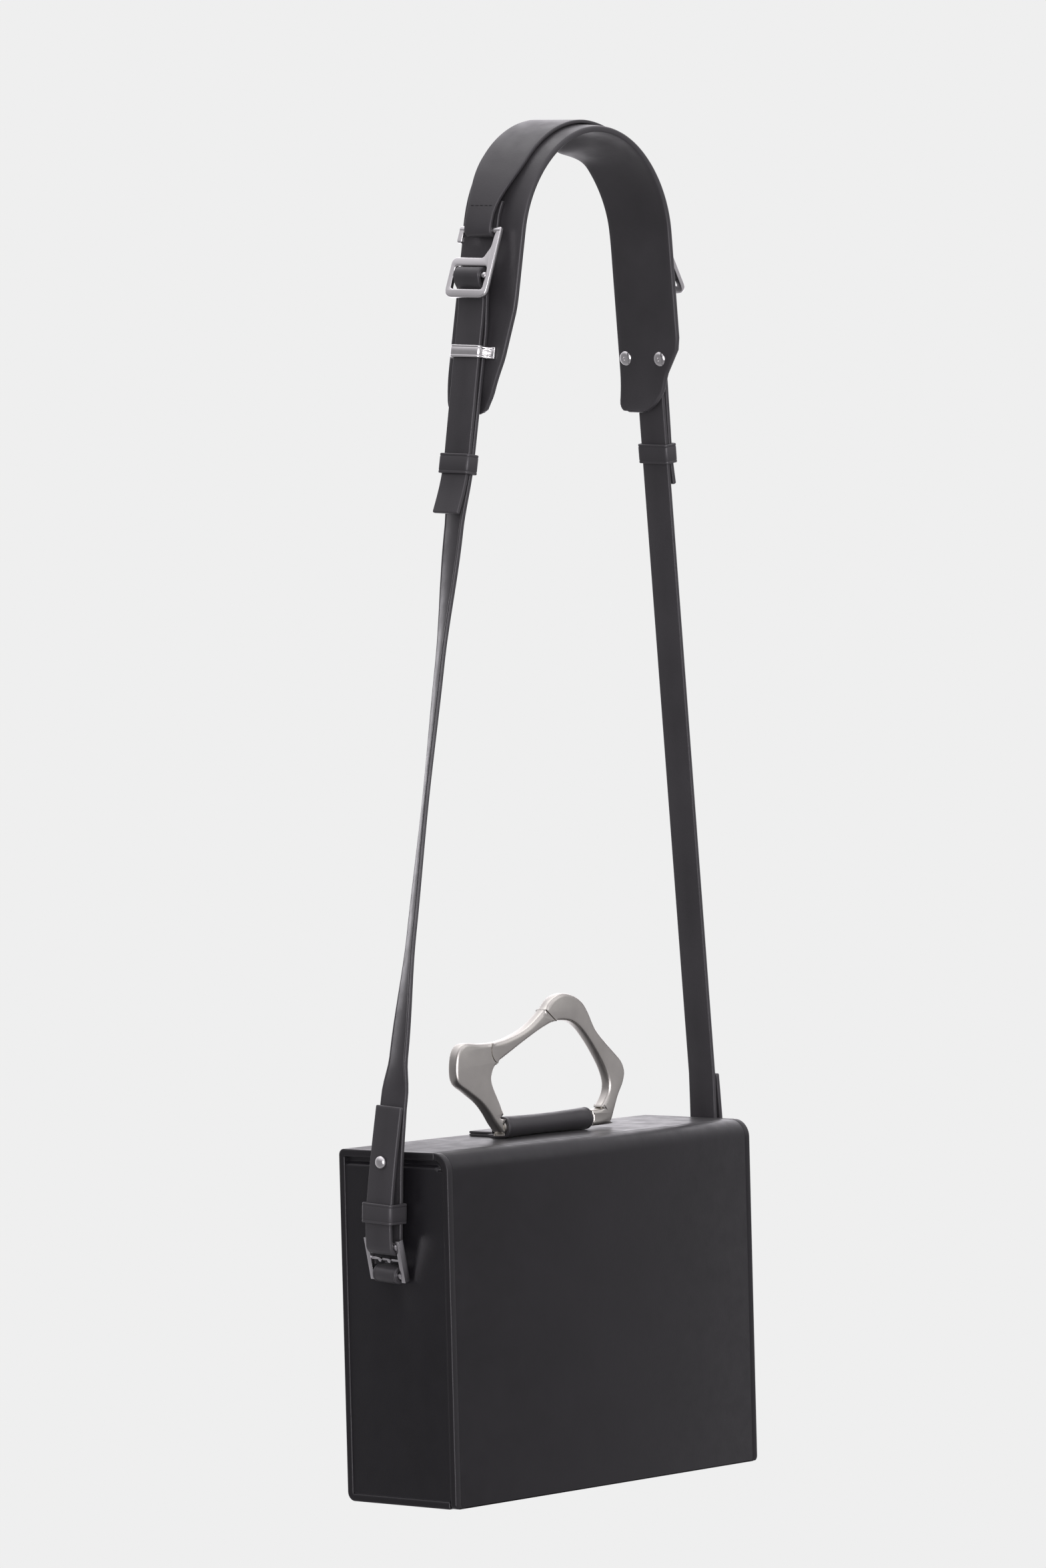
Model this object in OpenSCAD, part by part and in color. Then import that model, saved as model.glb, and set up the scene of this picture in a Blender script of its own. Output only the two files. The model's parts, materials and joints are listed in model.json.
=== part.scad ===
// Box handbag with a lobed snap-ring top handle, hanging from its shoulder strap.
// Frame: origin at the hanging point under the top of the shoulder pad, +Z up,
// the flap faces -Y, X runs along the bag's width. Millimetres.

/* [Case] */
// Width of the case over the leather wrap
case_w = 300; // [280:2:320]
// Depth of the case, front to back
case_d = 96; // [88:1:110]
// Height of the case
case_h = 230; // [215:1:260]
// Thickness of the leather-covered wrap (top, back, bottom and flap)
wrap_t = 5; // [4.5:0.5:6]
// How far each side panel is set in from the wrap's edge
side_recess = 2; // [2:0.5:4]
// Thickness of the side panels
side_t = 4; // [3:0.5:5]
// Outer radius of the fold that the flap hangs from
fold_r = 12; // [10:0.5:14]
// Height of the mouth between the front wall and the top
mouth_h = 85; // [70:1:100]

/* [Strap loop] */
// Drop from the hanging point to the buckles' strap bars
strap_drop = 721; // [701:2:761]
// Height of the case's top above the strap bars
top_above_bar = 60; // [56:1:64]
// Forward lean of the taut strap loop, degrees
lean = 3; // [0:0.1:5]
// Angle of the strap's legs from the vertical, degrees
leg_angle = 7.75; // [7.55:0.05:7.95]
// Half the width inside the pad's arch
arch_r = 70.5; // [69.5:0.5:71.5]
// Height of the arch above the ellipse's widest level
arch_h = 76.5; // [74:0.5:78]
// Strap width
strap_w = 22; // [20:0.5:22]
// Strap thickness
strap_t = 3; // [2.6:0.1:3]
// Pad thickness
pad_t = 4; // [3.6:0.1:4]
// Pad edge in front of the strap's centre line
pad_front = 31; // [28:0.5:34]
// Pad edge behind the strap's centre line
pad_rear = 21.5; // [20:0.5:24]
// Length of the pad below its arch, on each side
pad_leg = 121; // [119:1:125]
// How far each pad end stands in from the strap's line
pad_curl = 4; // [0:0.5:5]
// Width of the top strap over the arch
top_strap_w = 36; // [30:1:38]
// Thickness of the top strap
top_strap_t = 2.5; // [2:0.1:2.5]

/* [Handle] */
// Thickness of the metal ring
ring_t = 9; // [8:0.5:9]
// Radius of the round bar inside the leather roll
bar_r = 4.6; // [4:0.1:4.6]
// Leather thickness of the handle tab
tab_t = 2.8; // [2.4:0.1:2.8]
// Height of the bar's axis above the case
bar_z = 7.5; // [7.5:0.1:8]
// Radius of the gate's knuckle
knuckle_r = 9.8; // [9:0.1:10]

/* [Hidden] */
$fn = 48;

LEFT = -1;
RIGHT = 1;
leather = [0.10, 0.10, 0.11];
leather_soft = [0.16, 0.16, 0.17];
suede = [0.22, 0.21, 0.22];
steel = [0.63, 0.61, 0.58];
chrome = [0.85, 0.85, 0.86];
fit = 0.1;              // gap between pieces that are fixed to each other
run = 0.35;             // gap round pieces that slide over leather
overlap = 1;            // how far a cutter passes beyond what it cuts
fold_gap = 0.6;         // between the case and the closed flap with its fold

half_w = case_w/2;
front_y = -case_d/2;
rear_y = case_d/2;
side_out = half_w - side_recess;
side_in = side_out - side_t;
flap_in_y = front_y + wrap_t;
body_front_y = flap_in_y + fold_gap;
wall_t = 3.5;
wall_top_z = -wrap_t - mouth_h;
lining_t = 1;
lining_x = side_in - 4.8;
lining_top = -wrap_t - 3.6;
magnet_r = 9;
magnet_t = 2;
magnet_x = 70;
magnet_z = -case_h + 108;

// Strap hardware, measured from the leg line (n outwards, s down the leg)
strap_n = pad_t + 0.3 + strap_t/2;      // centre of the inner strap layer
hook_bar = [9.2, 2.3];                  // G-hook's upper bar
hook_bar_r = 2;
slide_bar_d = 30.8;                     // from the upper bar to the slide bar
slide_bar_r = 2.2;
// The right hook stands further off the pad
function hook_tilt(side) = side == LEFT ? 11 : 24;
function slide_bar(side) = hook_bar + slide_bar_d*[sin(hook_tilt(side)), cos(hook_tilt(side))];
function bridge_s(side) = side == LEFT ? 81.7 : 85.2;
bridge_h = 8;
screw_v = 14.9;
function keeper_s(side) = side == LEFT ? 154.8 : 149.5;
keeper_h = 13;
keeper_t = 1.8;
buckle_bar_r = 3;
buckle_x = 159.8;
buckle_tilt = 15;
buckle_drop = 20;
tab_bar_r = 2.8;
side_tab_t = 2.8;
side_tab_w = 20;
lower_keeper_z = -strap_drop + 21;
stud_z = -strap_drop + 54;
hook_half = 18;
hook_arm = 4.3;
hook_rail = 5.8;                        // height of the frame's upper and lower rails

// The gate's pivot in the ring, from the case's top centre
gate_pivot = [-47, 59];

// ---- helpers ---------------------------------------------------------------

// Places a piece whose origin is the centre of the case's top
module at_case() {
    translate([0, strap_drop*sin(lean), top_above_bar - strap_drop*cos(lean)]) children();
}

// Places a piece drawn in the upright strap plane under the hanging point
module at_strap(side = RIGHT) {
    rotate([lean, 0, 0]) scale_side(side) children();
}

// Mirrors a right-hand piece to the left
module scale_side(side) {
    if (side == LEFT) mirror([1, 0, 0]) children();
    else children();
}

// Places a piece on the right leg: x outwards, z up the leg from the arch's end
module on_leg() {
    start = arch_point(0, arch_end);
    translate([start[0], 0, start[1]]) rotate([0, -leg_angle, 0]) children();
}

// A point of the strap plane, n outside the elliptical arch and a degrees round the ellipse
function arch_point(n, a) = let(out = [arch_h*cos(a), arch_r*sin(a)])
    [arch_r*cos(a), arch_h*(sin(a) - 1)] + n*out/norm(out);
arch_end = atan(arch_h/arch_r*tan(leg_angle));    // where the ellipse runs on into the straight leg

// A point of the strap plane from leg measures n (outwards) and s (down the leg)
function leg_point(n, s) = arch_point(0, arch_end)
    + n*[cos(leg_angle), sin(leg_angle)] + s*[sin(leg_angle), -cos(leg_angle)];
function leg_points(list) = [for (p = list) leg_point(p[0], p[1])];

function arc(centre, r, from, to, steps) = [
    for (i = [0:steps]) let(a = from + (to - from)*i/steps) centre + r*[cos(a), sin(a)]
];
function reversed(list) = [for (i = [len(list) - 1:-1:0]) list[i]];
function mirrored(list) = [for (p = list) [-p[0], p[1]]];
function tail(list) = [for (i = [1:len(list) - 1]) list[i]];

// Catmull-Rom curve through the points p0..p3, between p1 and p2
function spline_at(p0, p1, p2, p3, t) =
    0.5*(2*p1 + (p2 - p0)*t + (2*p0 - 5*p1 + 4*p2 - p3)*t*t + (3*p1 - p0 - 3*p2 + p3)*t*t*t);
function smooth(p, steps) = let(last = len(p) - 1) concat(
    [for (i = [0:last - 1]) for (k = [0:steps - 1])
        spline_at(p[max(i - 1, 0)], p[i], p[i + 1], p[min(i + 2, last)], k/steps)],
    [p[last]]);
function closed_smooth(p, steps) = let(c = len(p))
    [for (i = [0:c - 1]) for (k = [0:steps - 1])
        spline_at(p[(i + c - 1)%c], p[i], p[(i + 1)%c], p[(i + 2)%c], k/steps)];

function normal_at(p, i) =
    let(d = p[min(i + 1, len(p) - 1)] - p[max(i - 1, 0)]) [-d[1], d[0]]/norm(d);
function shifted(p, off) = [for (i = [0:len(p) - 1]) p[i] + off*normal_at(p, i)];

// A strip of leather: its centre line in the XZ plane, from y0 to y1
module strip(path, t, y0, y1) {
    rotate([90, 0, 0]) translate([0, 0, -y1]) linear_extrude(y1 - y0)
        polygon(concat(shifted(path, t/2), reversed(shifted(path, -t/2))));
}

// A round bar along Y
module bar_y(x, z, r, y0, y1) {
    translate([x, y0, z]) rotate([-90, 0, 0]) cylinder(r = r, h = y1 - y0);
}

// A box from its low to its high corner
module block(low, high) {
    translate(low) cube(high - low);
}

// ---- case ------------------------------------------------------------------

rear_top_r = 4;
rear_bottom_r = 6;
flap_foot_r = 2.5;

// Side view of the whole wrap, solid, as [y, z]
function wrap_outline() = concat(
    arc([front_y + fold_r, -fold_r], fold_r, 180, 90, 12),
    arc([rear_y - rear_top_r, -rear_top_r], rear_top_r, 90, 0, 6),
    arc([rear_y - rear_bottom_r, -case_h + rear_bottom_r], rear_bottom_r, 0, -90, 8),
    arc([front_y + flap_foot_r, -case_h + flap_foot_r], flap_foot_r, -90, -180, 5));
function wrap_hollow() = concat(
    arc([front_y + fold_r, -fold_r], fold_r - wrap_t, 180, 90, 12),
    [[rear_y - wrap_t, -wrap_t], [rear_y - wrap_t, -case_h + wrap_t], [flap_in_y, -case_h + wrap_t]]);

// Extrudes an outline drawn as [y, z] along X
module across(x0, x1) {
    rotate([90, 0, 90]) translate([0, 0, x0]) linear_extrude(x1 - x0) children();
}

// The part of the wrap inside a [y, z] window, across the case
module wrap_part(low, high) {
    across(-half_w, half_w) intersection() {
        difference() {
            polygon(wrap_outline());
            polygon(wrap_hollow());
        }
        translate(low) square(high - low);
    }
}

rivet_x = 28;
rivet_ys = [20, 30];
rivet_r = 1.6;

module rivet_spots() {
    for (x = [-rivet_x, rivet_x], y = rivet_ys) translate([x, y, 0]) children();
}

module top_panel() {
    color(leather) at_case() difference() {
        wrap_part([front_y + fold_r, -wrap_t], [rear_y + overlap, overlap]);
        rivet_spots() translate([0, 0, -wrap_t - overlap])
            cylinder(r = rivet_r + fit, h = wrap_t + 2*overlap);
    }
}

module back_panel() {
    color(leather) at_case()
        wrap_part([rear_y - wrap_t, -case_h + wrap_t], [rear_y + overlap, -wrap_t]);
}

module bottom_panel() {
    color(leather) at_case()
        wrap_part([body_front_y, -case_h - overlap], [rear_y + overlap, -case_h + wrap_t]);
}

module front_wall() {
    color(leather_soft) at_case() difference() {
        block([-side_in, body_front_y, -case_h + wrap_t], [side_in, body_front_y + wall_t, wall_top_z]);
        magnet_spots() bar_y(0, 0, magnet_r + fit, body_front_y - overlap, body_front_y + magnet_t + fit);
    }
}

module magnet_spots() {
    for (x = [-magnet_x, magnet_x]) translate([x, 0, magnet_z]) children();
}

module case_magnets() {
    color(steel) at_case() magnet_spots()
        bar_y(0, 0, magnet_r, body_front_y, body_front_y + magnet_t);
}

piping_w = 4;
piping_t = 1;

// Side view of a side panel, drawn in all round, as [y, z]
function panel_outline(inset) = concat(
    arc([front_y + fold_r, -fold_r], fold_r - wrap_t - fold_gap - inset, 180, 90, 8),
    [[front_y + fold_r + fold_gap, -wrap_t - inset], [rear_y - wrap_t - inset, -wrap_t - inset],
     [rear_y - wrap_t - inset, -case_h + wrap_t + inset],
     [body_front_y + inset, -case_h + wrap_t + inset]]);

// Side panel with its raised border and the slit for the strap's tab
module side_panel(side) {
    color(leather_soft) difference() {
        at_case() scale_side(side) {
            across(side_in, side_out) polygon(panel_outline(0));
            across(side_out, side_out + piping_t) difference() {
                polygon(panel_outline(0));
                polygon(panel_outline(piping_w));
            }
        }
        at_strap(side) translate([0, 0, tab_bar_z()])
            block([side_in - overlap, -side_tab_w/2 - fit, -tab_wrap_r() - side_tab_t/2 - fit],
                  [side_out + overlap, side_tab_w/2 + fit, tab_wrap_r() + side_tab_t/2 + fit]);
    }
}

// Fabric-covered skin inside, open at the front above the front wall
module case_lining() {
    y0 = body_front_y + wall_t;
    y1 = rear_y - wrap_t - 0.3;
    z0 = -case_h + wrap_t + 0.3;
    color(suede) at_case() difference() {
        block([-lining_x, y0, z0], [lining_x, y1, lining_top]);
        block([-lining_x + lining_t, y0 + lining_t, z0 + lining_t],
              [lining_x - lining_t, y1 - lining_t, lining_top - lining_t]);
        block([-lining_x + lining_t, y0 - overlap, wall_top_z],
              [lining_x - lining_t, y0 + 2*lining_t, lining_top - lining_t]);
    }
}

pocket_w = 150;
pocket_t = 1.8;
pocket_low = -190;
pocket_high = -90;

module inner_pocket() {
    y1 = rear_y - wrap_t - 0.3 - lining_t;
    color(leather_soft) at_case() {
        block([-pocket_w/2, y1 - pocket_t, pocket_low], [pocket_w/2, y1, pocket_high]);
        block([-pocket_w/2, y1 - pocket_t - 1, pocket_high - 8], [pocket_w/2, y1 - pocket_t, pocket_high]);
    }
}

// ---- flap ------------------------------------------------------------------

cover_t = 4;
board_rim = 4;

module flap_fold() {
    color(leather) at_case()
        wrap_part([front_y - overlap, -fold_r], [front_y + fold_r, overlap]);
}

module flap_pocket(t, grow) {
    block([-half_w + board_rim - grow, front_y + cover_t - t, -case_h + board_rim - grow],
          [half_w - board_rim + grow, front_y + cover_t, -fold_r - board_rim + grow]);
}

module flap_cover() {
    color(leather) at_case() difference() {
        wrap_part([front_y - overlap, -case_h - overlap], [front_y + cover_t, -fold_r - fit]);
        translate([0, 0.01, 0]) flap_pocket(magnet_t, 0);
    }
}

module flap_board() {
    color(suede) at_case() difference() {
        flap_pocket(magnet_t - fit, -fit);
        magnet_spots() bar_y(0, 0, magnet_r + fit, front_y, front_y + cover_t + overlap);
    }
}

module flap_magnets() {
    color(steel) at_case() magnet_spots()
        bar_y(0, 0, magnet_r, front_y + cover_t - magnet_t + fit, front_y + cover_t);
}

module flap_lining() {
    color(leather_soft) at_case()
        block([-half_w, front_y + cover_t + 0.01, -case_h + flap_foot_r], [half_w, flap_in_y, -fold_r - fit]);
}

// ---- handle ----------------------------------------------------------------

roll_low = -39;
roll_high = 36.8;
roll_r = bar_r + 0.05 + tab_t/2;        // centre line of the roll's leather
leaf_end = 36;

// Leather tab: a roll round the bar whose two layers lie back along the top
module handle_tab() {
    low = bar_z - roll_r;
    high = low + tab_t + fit;
    path = concat(
        [[leaf_end, low]],
        arc([0, bar_z], roll_r, -90, -325, 30),
        smooth([[7.7, 8.2], [11.5, high + 0.9], [16, high], [leaf_end, high]], 5));
    color(leather) at_case() difference() {
        rotate([90, 0, 90]) translate([0, 0, roll_low]) linear_extrude(roll_high - roll_low)
            polygon(concat(shifted(path, tab_t/2), reversed(shifted(path, -tab_t/2))));
        rivet_spots() translate([0, 0, -overlap]) cylinder(r = rivet_r + fit, h = tab_t + overlap);
    }
}

plate_t = 1.2;

module handle_backplate() {
    color(steel) at_case() difference() {
        block([-38, 14, -wrap_t - plate_t], [38, 36, -wrap_t]);
        rivet_spots() translate([0, 0, -wrap_t - plate_t - overlap])
            cylinder(r = rivet_r + fit, h = plate_t + 2*overlap);
    }
}

module handle_rivets() {
    low = -wrap_t - plate_t;
    color(steel) at_case() rivet_spots() {
        translate([0, 0, low - fit]) cylinder(r = rivet_r, h = tab_t - low);
        translate([0, 0, low - 1.4]) cylinder(r = 3.2, h = 1.4 - fit);
    }
}

// Outline of the ring and its finger window, as [x, z] above the case's top
ring_outline = [
    [-91, 47], [-89, 59], [-82, 65], [-67, 64], [-51, 64], [-36, 66.5], [-19.5, 72], [-4, 81.5],
    [5, 89], [15, 92], [26, 90], [34, 85.5], [39.5, 79], [46.5, 67], [55, 58.5], [65, 50],
    [72, 43.5], [75, 36], [73, 28.5], [68, 20.5], [64, 12], [60, 4], [54, 2.1], [-40, 2.1],
    [-47, 3], [-54, 9.5], [-60.3, 17.5], [-68, 25], [-79.5, 32.5], [-88.5, 38.5]];
ring_window = [
    [-50, 25.5], [-56, 37], [-56, 43.5], [-51, 50], [-36.5, 57], [-21, 64], [-6, 70.2], [6, 73.8],
    [16.5, 74], [25, 72], [33, 67], [41.5, 58.3], [49, 48.8], [55.5, 39], [59, 29.5], [57, 21.5],
    [50.5, 14.8], [43, 12.8], [-41, 12.8], [-45.5, 16.8]];
split_low = [7.5, 73.6];        // where the gate's free end meets the window
split_high = [-3.5, 82.4];      // and where it meets the outer edge
split_gap = 0.3;

module ring_plan() {
    difference() {
        polygon(closed_smooth(ring_outline, 5));
        polygon(closed_smooth(ring_window, 5));
    }
}

// The gate's share of the ring, grown by a gap
module gate_zone(gap) {
    along = (split_high - split_low)/norm(split_high - split_low);
    out = [-along[1], along[0]]*-gap;
    translate(gate_pivot) circle(r = knuckle_r + gap);
    polygon([gate_pivot + [-3, 9], split_high + along*8 + out, split_low - along*8 + out,
             gate_pivot + [4, -8.5]]);
}

module ring_plate(t) {
    rotate([90, 0, 0]) translate([0, 0, -t/2]) linear_extrude(t) children();
}

tongue_low = -1.6;
tongue_high = 0.2;
slot_half = 1.8;
gate_pin_r = 1.5;
neck_low = -45;
neck_high = 40.8;
bar_reach = 1;                          // of the bar into each foot of the ring

module handle_frame() {
    bore = gate_pin_r + 0.05;
    color(steel) at_case() difference() {
        union() {
            difference() {
                ring_plate(ring_t) difference() {
                    ring_plan();
                    gate_zone(split_gap);
                }
                block([neck_low, -ring_t, 0], [neck_high, ring_t, 12.9]);
            }
            translate([neck_low - bar_reach, 0, bar_z]) rotate([0, 90, 0])
                cylinder(r = bar_r, h = neck_high - neck_low + 2*bar_reach);
            // Hinge tongue that the gate's fork straddles
            translate([0, (tongue_low + tongue_high)/2, 0]) ring_plate(tongue_high - tongue_low) {
                translate(gate_pivot) circle(r = 4.4);
                translate(gate_pivot) polygon([[0, 4], [-13, -1], [-11, -8], [0, -4]]);
            }
        }
        bar_y(gate_pivot[0], gate_pivot[1], bore, -ring_t, ring_t);
    }
}

module handle_gate() {
    color(steel) at_case() difference() {
        ring_plate(ring_t) intersection() {
            ring_plan();
            gate_zone(0);
        }
        bar_y(gate_pivot[0], gate_pivot[1], knuckle_r + 0.5, -slot_half, slot_half);
        bar_y(gate_pivot[0], gate_pivot[1], gate_pin_r + 0.02, -ring_t, ring_t);
    }
}

module gate_pin() {
    color(chrome) at_case()
        bar_y(gate_pivot[0], gate_pivot[1], gate_pin_r, -ring_t/2 + 0.3, ring_t/2 - 0.3);
}

// Coil of the gate's spring, beside the tongue
module gate_spring() {
    color(steel) at_case() difference() {
        bar_y(gate_pivot[0], gate_pivot[1], 3, tongue_high + fit, slot_half - fit);
        bar_y(gate_pivot[0], gate_pivot[1], 1.9, -ring_t, ring_t);
    }
}

// ---- side tabs and buckles ---------------------------------------------------

function tab_bar_x() = buckle_x - buckle_drop*sin(buckle_tilt);
function tab_bar_z() = -strap_drop - buckle_drop*cos(buckle_tilt);
function tab_wrap_r() = tab_bar_r + fit + side_tab_t/2;
tab_leg = 20;
tab_bend = 1.5;

// Leather tab: out through the slit, round the buckle's lower bar and back in
module side_tab(side) {
    x = tab_bar_x();
    z = tab_bar_z();
    r = tab_wrap_r();
    inside = side_in - fit - side_tab_t/2;
    path = concat(
        [[inside, z + r + tab_leg]],
        arc([inside + tab_bend, z + r + tab_bend], tab_bend, 180, 270, 4),
        arc([x, z], r, 90, -90, 16),
        arc([inside + tab_bend, z - r - tab_bend], tab_bend, 90, 180, 4),
        [[inside, z - r - tab_leg]]);
    color(leather) at_strap(side) difference() {
        strip(path, side_tab_t, -side_tab_w/2, side_tab_w/2);
        tab_rivet_spots() rotate([0, 90, 0]) cylinder(r = rivet_r + fit, h = 8, center = true);
    }
}

module tab_rivet_spots() {
    inside = side_in - fit - side_tab_t/2;
    for (dz = [-1, 1]) translate([inside, 0, tab_bar_z() + dz*(tab_wrap_r() + 12)]) children();
}

// Steel plate that the tab's two legs are riveted to, inside the side panel
module tab_plate(side) {
    inside = side_in - 2*fit - side_tab_t;
    color(steel) at_strap(side) difference() {
        block([inside - plate_t, -8, tab_bar_z() - 22], [inside, 8, tab_bar_z() + 22]);
        tab_rivet_spots() rotate([0, 90, 0]) cylinder(r = rivet_r + fit, h = 12, center = true);
    }
}

module tab_rivets(side) {
    low = -side_tab_t/2 - fit - plate_t;
    color(steel) at_strap(side) tab_rivet_spots() rotate([0, 90, 0])
        translate([0, 0, low - 0.4]) cylinder(r = rivet_r, h = side_tab_t + plate_t + fit + 0.4);
}

buckle_half = 15.3;
buckle_side = 3.2;

// Buckle frame: strap bar on top, a thin rail with two studs, the tab's bar below
module buckle(side) {
    t = 4.4;
    inner = buckle_half - buckle_side;
    color(chrome) at_strap(side) translate([buckle_x, 0, -strap_drop]) rotate([0, buckle_tilt, 0]) {
        for (y = [-buckle_half, inner]) block([-t/2, y, -buckle_drop - 4], [t/2, y + buckle_side, 4.5]);
        bar_y(0, 0, buckle_bar_r, -inner, inner);
        bar_y(0, -9.6, 1.3, -inner, inner);
        bar_y(0, -buckle_drop, tab_bar_r, -inner, inner);
        for (y = [-4, 4]) translate([0, y, -9.6]) rotate([0, 90, 0]) cylinder(r = 1.4, h = 2.4);
    }
}

// ---- strap -------------------------------------------------------------------

slide_wrap_r = slide_bar_r + fit + strap_t/2;
buckle_wrap_r = buckle_bar_r + fit + strap_t/2;
straight_end = 573;                     // where the leg starts to turn upright

// Upper tails pass through their keeper and end flared on the left and flat on the right
function upper_tail(side) = let(s = keeper_s(side)) side == LEFT
    ? [[15, s + 33], [11.6, s + 18], [9.9, s + 6], [9.4, s - 4], [9.6, s - 18]]
    : [[10.8, s + 21], [9.8, s + 9], [9.4, s], [9.4, s - 9], [9.6, s - 18]];

function slide_wrap(side, a) = slide_bar(side) + slide_wrap_r*[cos(a), -sin(a)];

// Outer layer from the tail to the slide bar, and inner layer from there to the leg line
function to_slide_bar(side) = side == LEFT
    ? [[10.3, 92], [10.6, 60], [11.3, 48.5], [13.2, 42.2], [17.2, 37.2], slide_wrap(side, -18)]
    : [[10.3, 92], [11.6, 66], [17, 46], slide_wrap(side, -30)];
function from_slide_bar(side) = side == LEFT
    ? [slide_wrap(side, 190), [8.6, 43.5], [7.6, 51.5], [strap_n, 69.5], [strap_n, 85.5]]
    : [slide_wrap(side, 203), [11, 47], [6.6, 63], [strap_n, 76], [strap_n, 85.5]];

// Upper tail, over the slide bar, down the leg, round the buckle's bar and up as the lower tail
function strap_path(side) =
    let(bar_z = -strap_drop, in_x = buckle_x - buckle_wrap_r, out_x = buckle_x + buckle_wrap_r)
    concat(
        leg_points(smooth(concat(upper_tail(side), to_slide_bar(side)), 4)),
        leg_points([for (a = [-3:15:177]) slide_wrap(side, a)]),
        leg_points(smooth(from_slide_bar(side), 4)),
        smooth([leg_point(strap_n, straight_end), [in_x, bar_z + 54], [in_x, bar_z + 30], [in_x, bar_z]], 4),
        tail(arc([buckle_x, bar_z], buckle_wrap_r, 180, 360, 14)),
        tail(smooth([[out_x, bar_z], [out_x + 0.6, bar_z + 18], [in_x + 6.3, bar_z + 54],
            [in_x + 1.2, bar_z + 90]], 5)));

module strap(side) {
    color(leather) at_strap(side) difference() {
        strip(strap_path(side), strap_t, -strap_w/2, strap_w/2);
        stud_place() rotate([0, 90, 0]) cylinder(r = stud_post_r + fit, h = 60, center = true);
    }
}

stud_r = 4.3;
stud_post_r = 1.8;

module stud_place() {
    translate([buckle_x - buckle_wrap_r, 0, stud_z]) children();
}

// Dome stud that holds the lower tail to the strap, with its post and back disc
module strap_stud(side) {
    back = -strap_t/2 - fit - 0.4;      // clear of the strap, which slants here
    face = 6.3 + strap_t/2 + 0.7;
    color(chrome) at_strap(side) stud_place() rotate([0, 90, 0]) {
        translate([0, 0, back - 1.2]) cylinder(r = 4, h = 1.2);
        translate([0, 0, back - 0.1]) cylinder(r = stud_post_r, h = face - back + 0.2);
        translate([0, 0, face]) intersection() {
            translate([0, 0, 3.2 - 5.2]) sphere(r = 5.2);
            cylinder(r = stud_r, h = 4);
        }
    }
}

// Leather loop round both layers of the strap
module keeper_loop(x0, x1) {
    half = strap_w/2 + run;
    difference() {
        block([x0 - keeper_t, -half - keeper_t, -keeper_h/2], [x1 + keeper_t, half + keeper_t, keeper_h/2]);
        block([x0, -half, -keeper_h], [x1, half, keeper_h]);
    }
}

module lower_keeper(side) {
    in_x = buckle_x - buckle_wrap_r - strap_t/2 - run;
    out_x = buckle_x + buckle_wrap_r + 0.7 + strap_t/2 + run;
    color(leather) at_strap(side) translate([0, 0, lower_keeper_z]) keeper_loop(in_x, out_x);
}

module upper_keeper(side) {
    color(leather) at_strap(side) on_leg() translate([0, 0, -keeper_s(side)])
        keeper_loop(strap_n - strap_t/2 - run, 11.8);
}

// Metal bridge over the strap, screwed through the pad
module bridge(side) {
    half = strap_w/2 + 0.3;
    wall = 1.7;
    top_n = strap_n + 4.9 + strap_t/2 + 0.3;
    foot = 19;
    color(chrome) at_strap(side) on_leg() translate([0, 0, -bridge_s(side)]) difference() {
        union() {
            block([pad_t, -foot, -bridge_h/2], [pad_t + 1.8, foot, bridge_h/2]);
            block([pad_t, -half - wall, -bridge_h/2], [top_n + 2, half + wall, bridge_h/2]);
        }
        block([pad_t - overlap, -half, -bridge_h], [top_n, half, bridge_h]);
        screw_spots() cylinder(r = rivet_r, h = 12, center = true);
    }
}

module screw_spots() {
    for (v = [-screw_v, screw_v]) translate([pad_t, v, 0]) rotate([0, 90, 0]) children();
}

module bridge_screws(side) {
    color(chrome) at_strap(side) on_leg() translate([0, 0, -bridge_s(side)]) screw_spots() {
        translate([0, 0, -pad_t - 1.6]) cylinder(r = 4.8, h = 1.6 - 0.05);
        translate([0, 0, -pad_t - 0.1]) cylinder(r = rivet_r - 0.1, h = pad_t + 1.7);
    }
}

// G-shaped hook: a closed frame for the strap below, an open hook bar above
module hook(side) {
    t = 3.4;
    frame_top = -19.2;
    frame_low = -slide_bar_d - 15.5;
    inner = hook_half - hook_arm;
    color(chrome) at_strap(side) on_leg() translate([hook_bar[0], 0, -hook_bar[1]])
        rotate([0, -hook_tilt(side), 0]) {
            bar_y(0, 0, hook_bar_r, -hook_half + 0.5, hook_half);
            bar_y(0, -slide_bar_d, slide_bar_r, -inner, inner);
            block([-t/2, -hook_half, frame_low], [t/2, -inner, 2]);
            block([-t/2, inner, frame_low], [t/2, hook_half, frame_top]);
            block([-t/2, inner, -9], [t/2, hook_half, 2]);
            for (z = [frame_low, frame_top - hook_rail])
                block([-t/2, -inner, z], [t/2, inner, z + hook_rail]);
        }
}

// ---- pad and top strap -------------------------------------------------------

arch_steps = 24;
function half_arch(n, from) = [for (i = [0:arch_steps]) arch_point(n, from + (90 - from)*i/arch_steps)];
// The right half of a path, followed by its mirror image without the middle point twice
function both_halves(right_half) = let(last = len(right_half) - 1)
    concat(right_half, mirrored([for (i = [last - 1:-1:0]) right_half[i]]));

// Front corner cut off each pad end, as [v, s] with s counted from the end
function pad_cut(side) = side == LEFT
    ? [[-pad_front - 1, -72], [-25, -36], [-17.5, -12], [-12, -3], [-6, 1]]
    : [[-pad_front - 1, -46], [-18.7, -25], [-15.5, -14], [-10, -6], [0, 1]];
pad_cut_outside = [[-pad_front - 9, 1], [-pad_front - 9, -74]];

// Cuts an outline drawn as [v, s] through a piece on the leg
module leg_cutter(outline) {
    on_leg() rotate([0, 90, 0]) translate([0, 0, -20]) linear_extrude(60)
        polygon([for (p = outline) [p[1], p[0]]]);
}

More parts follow.
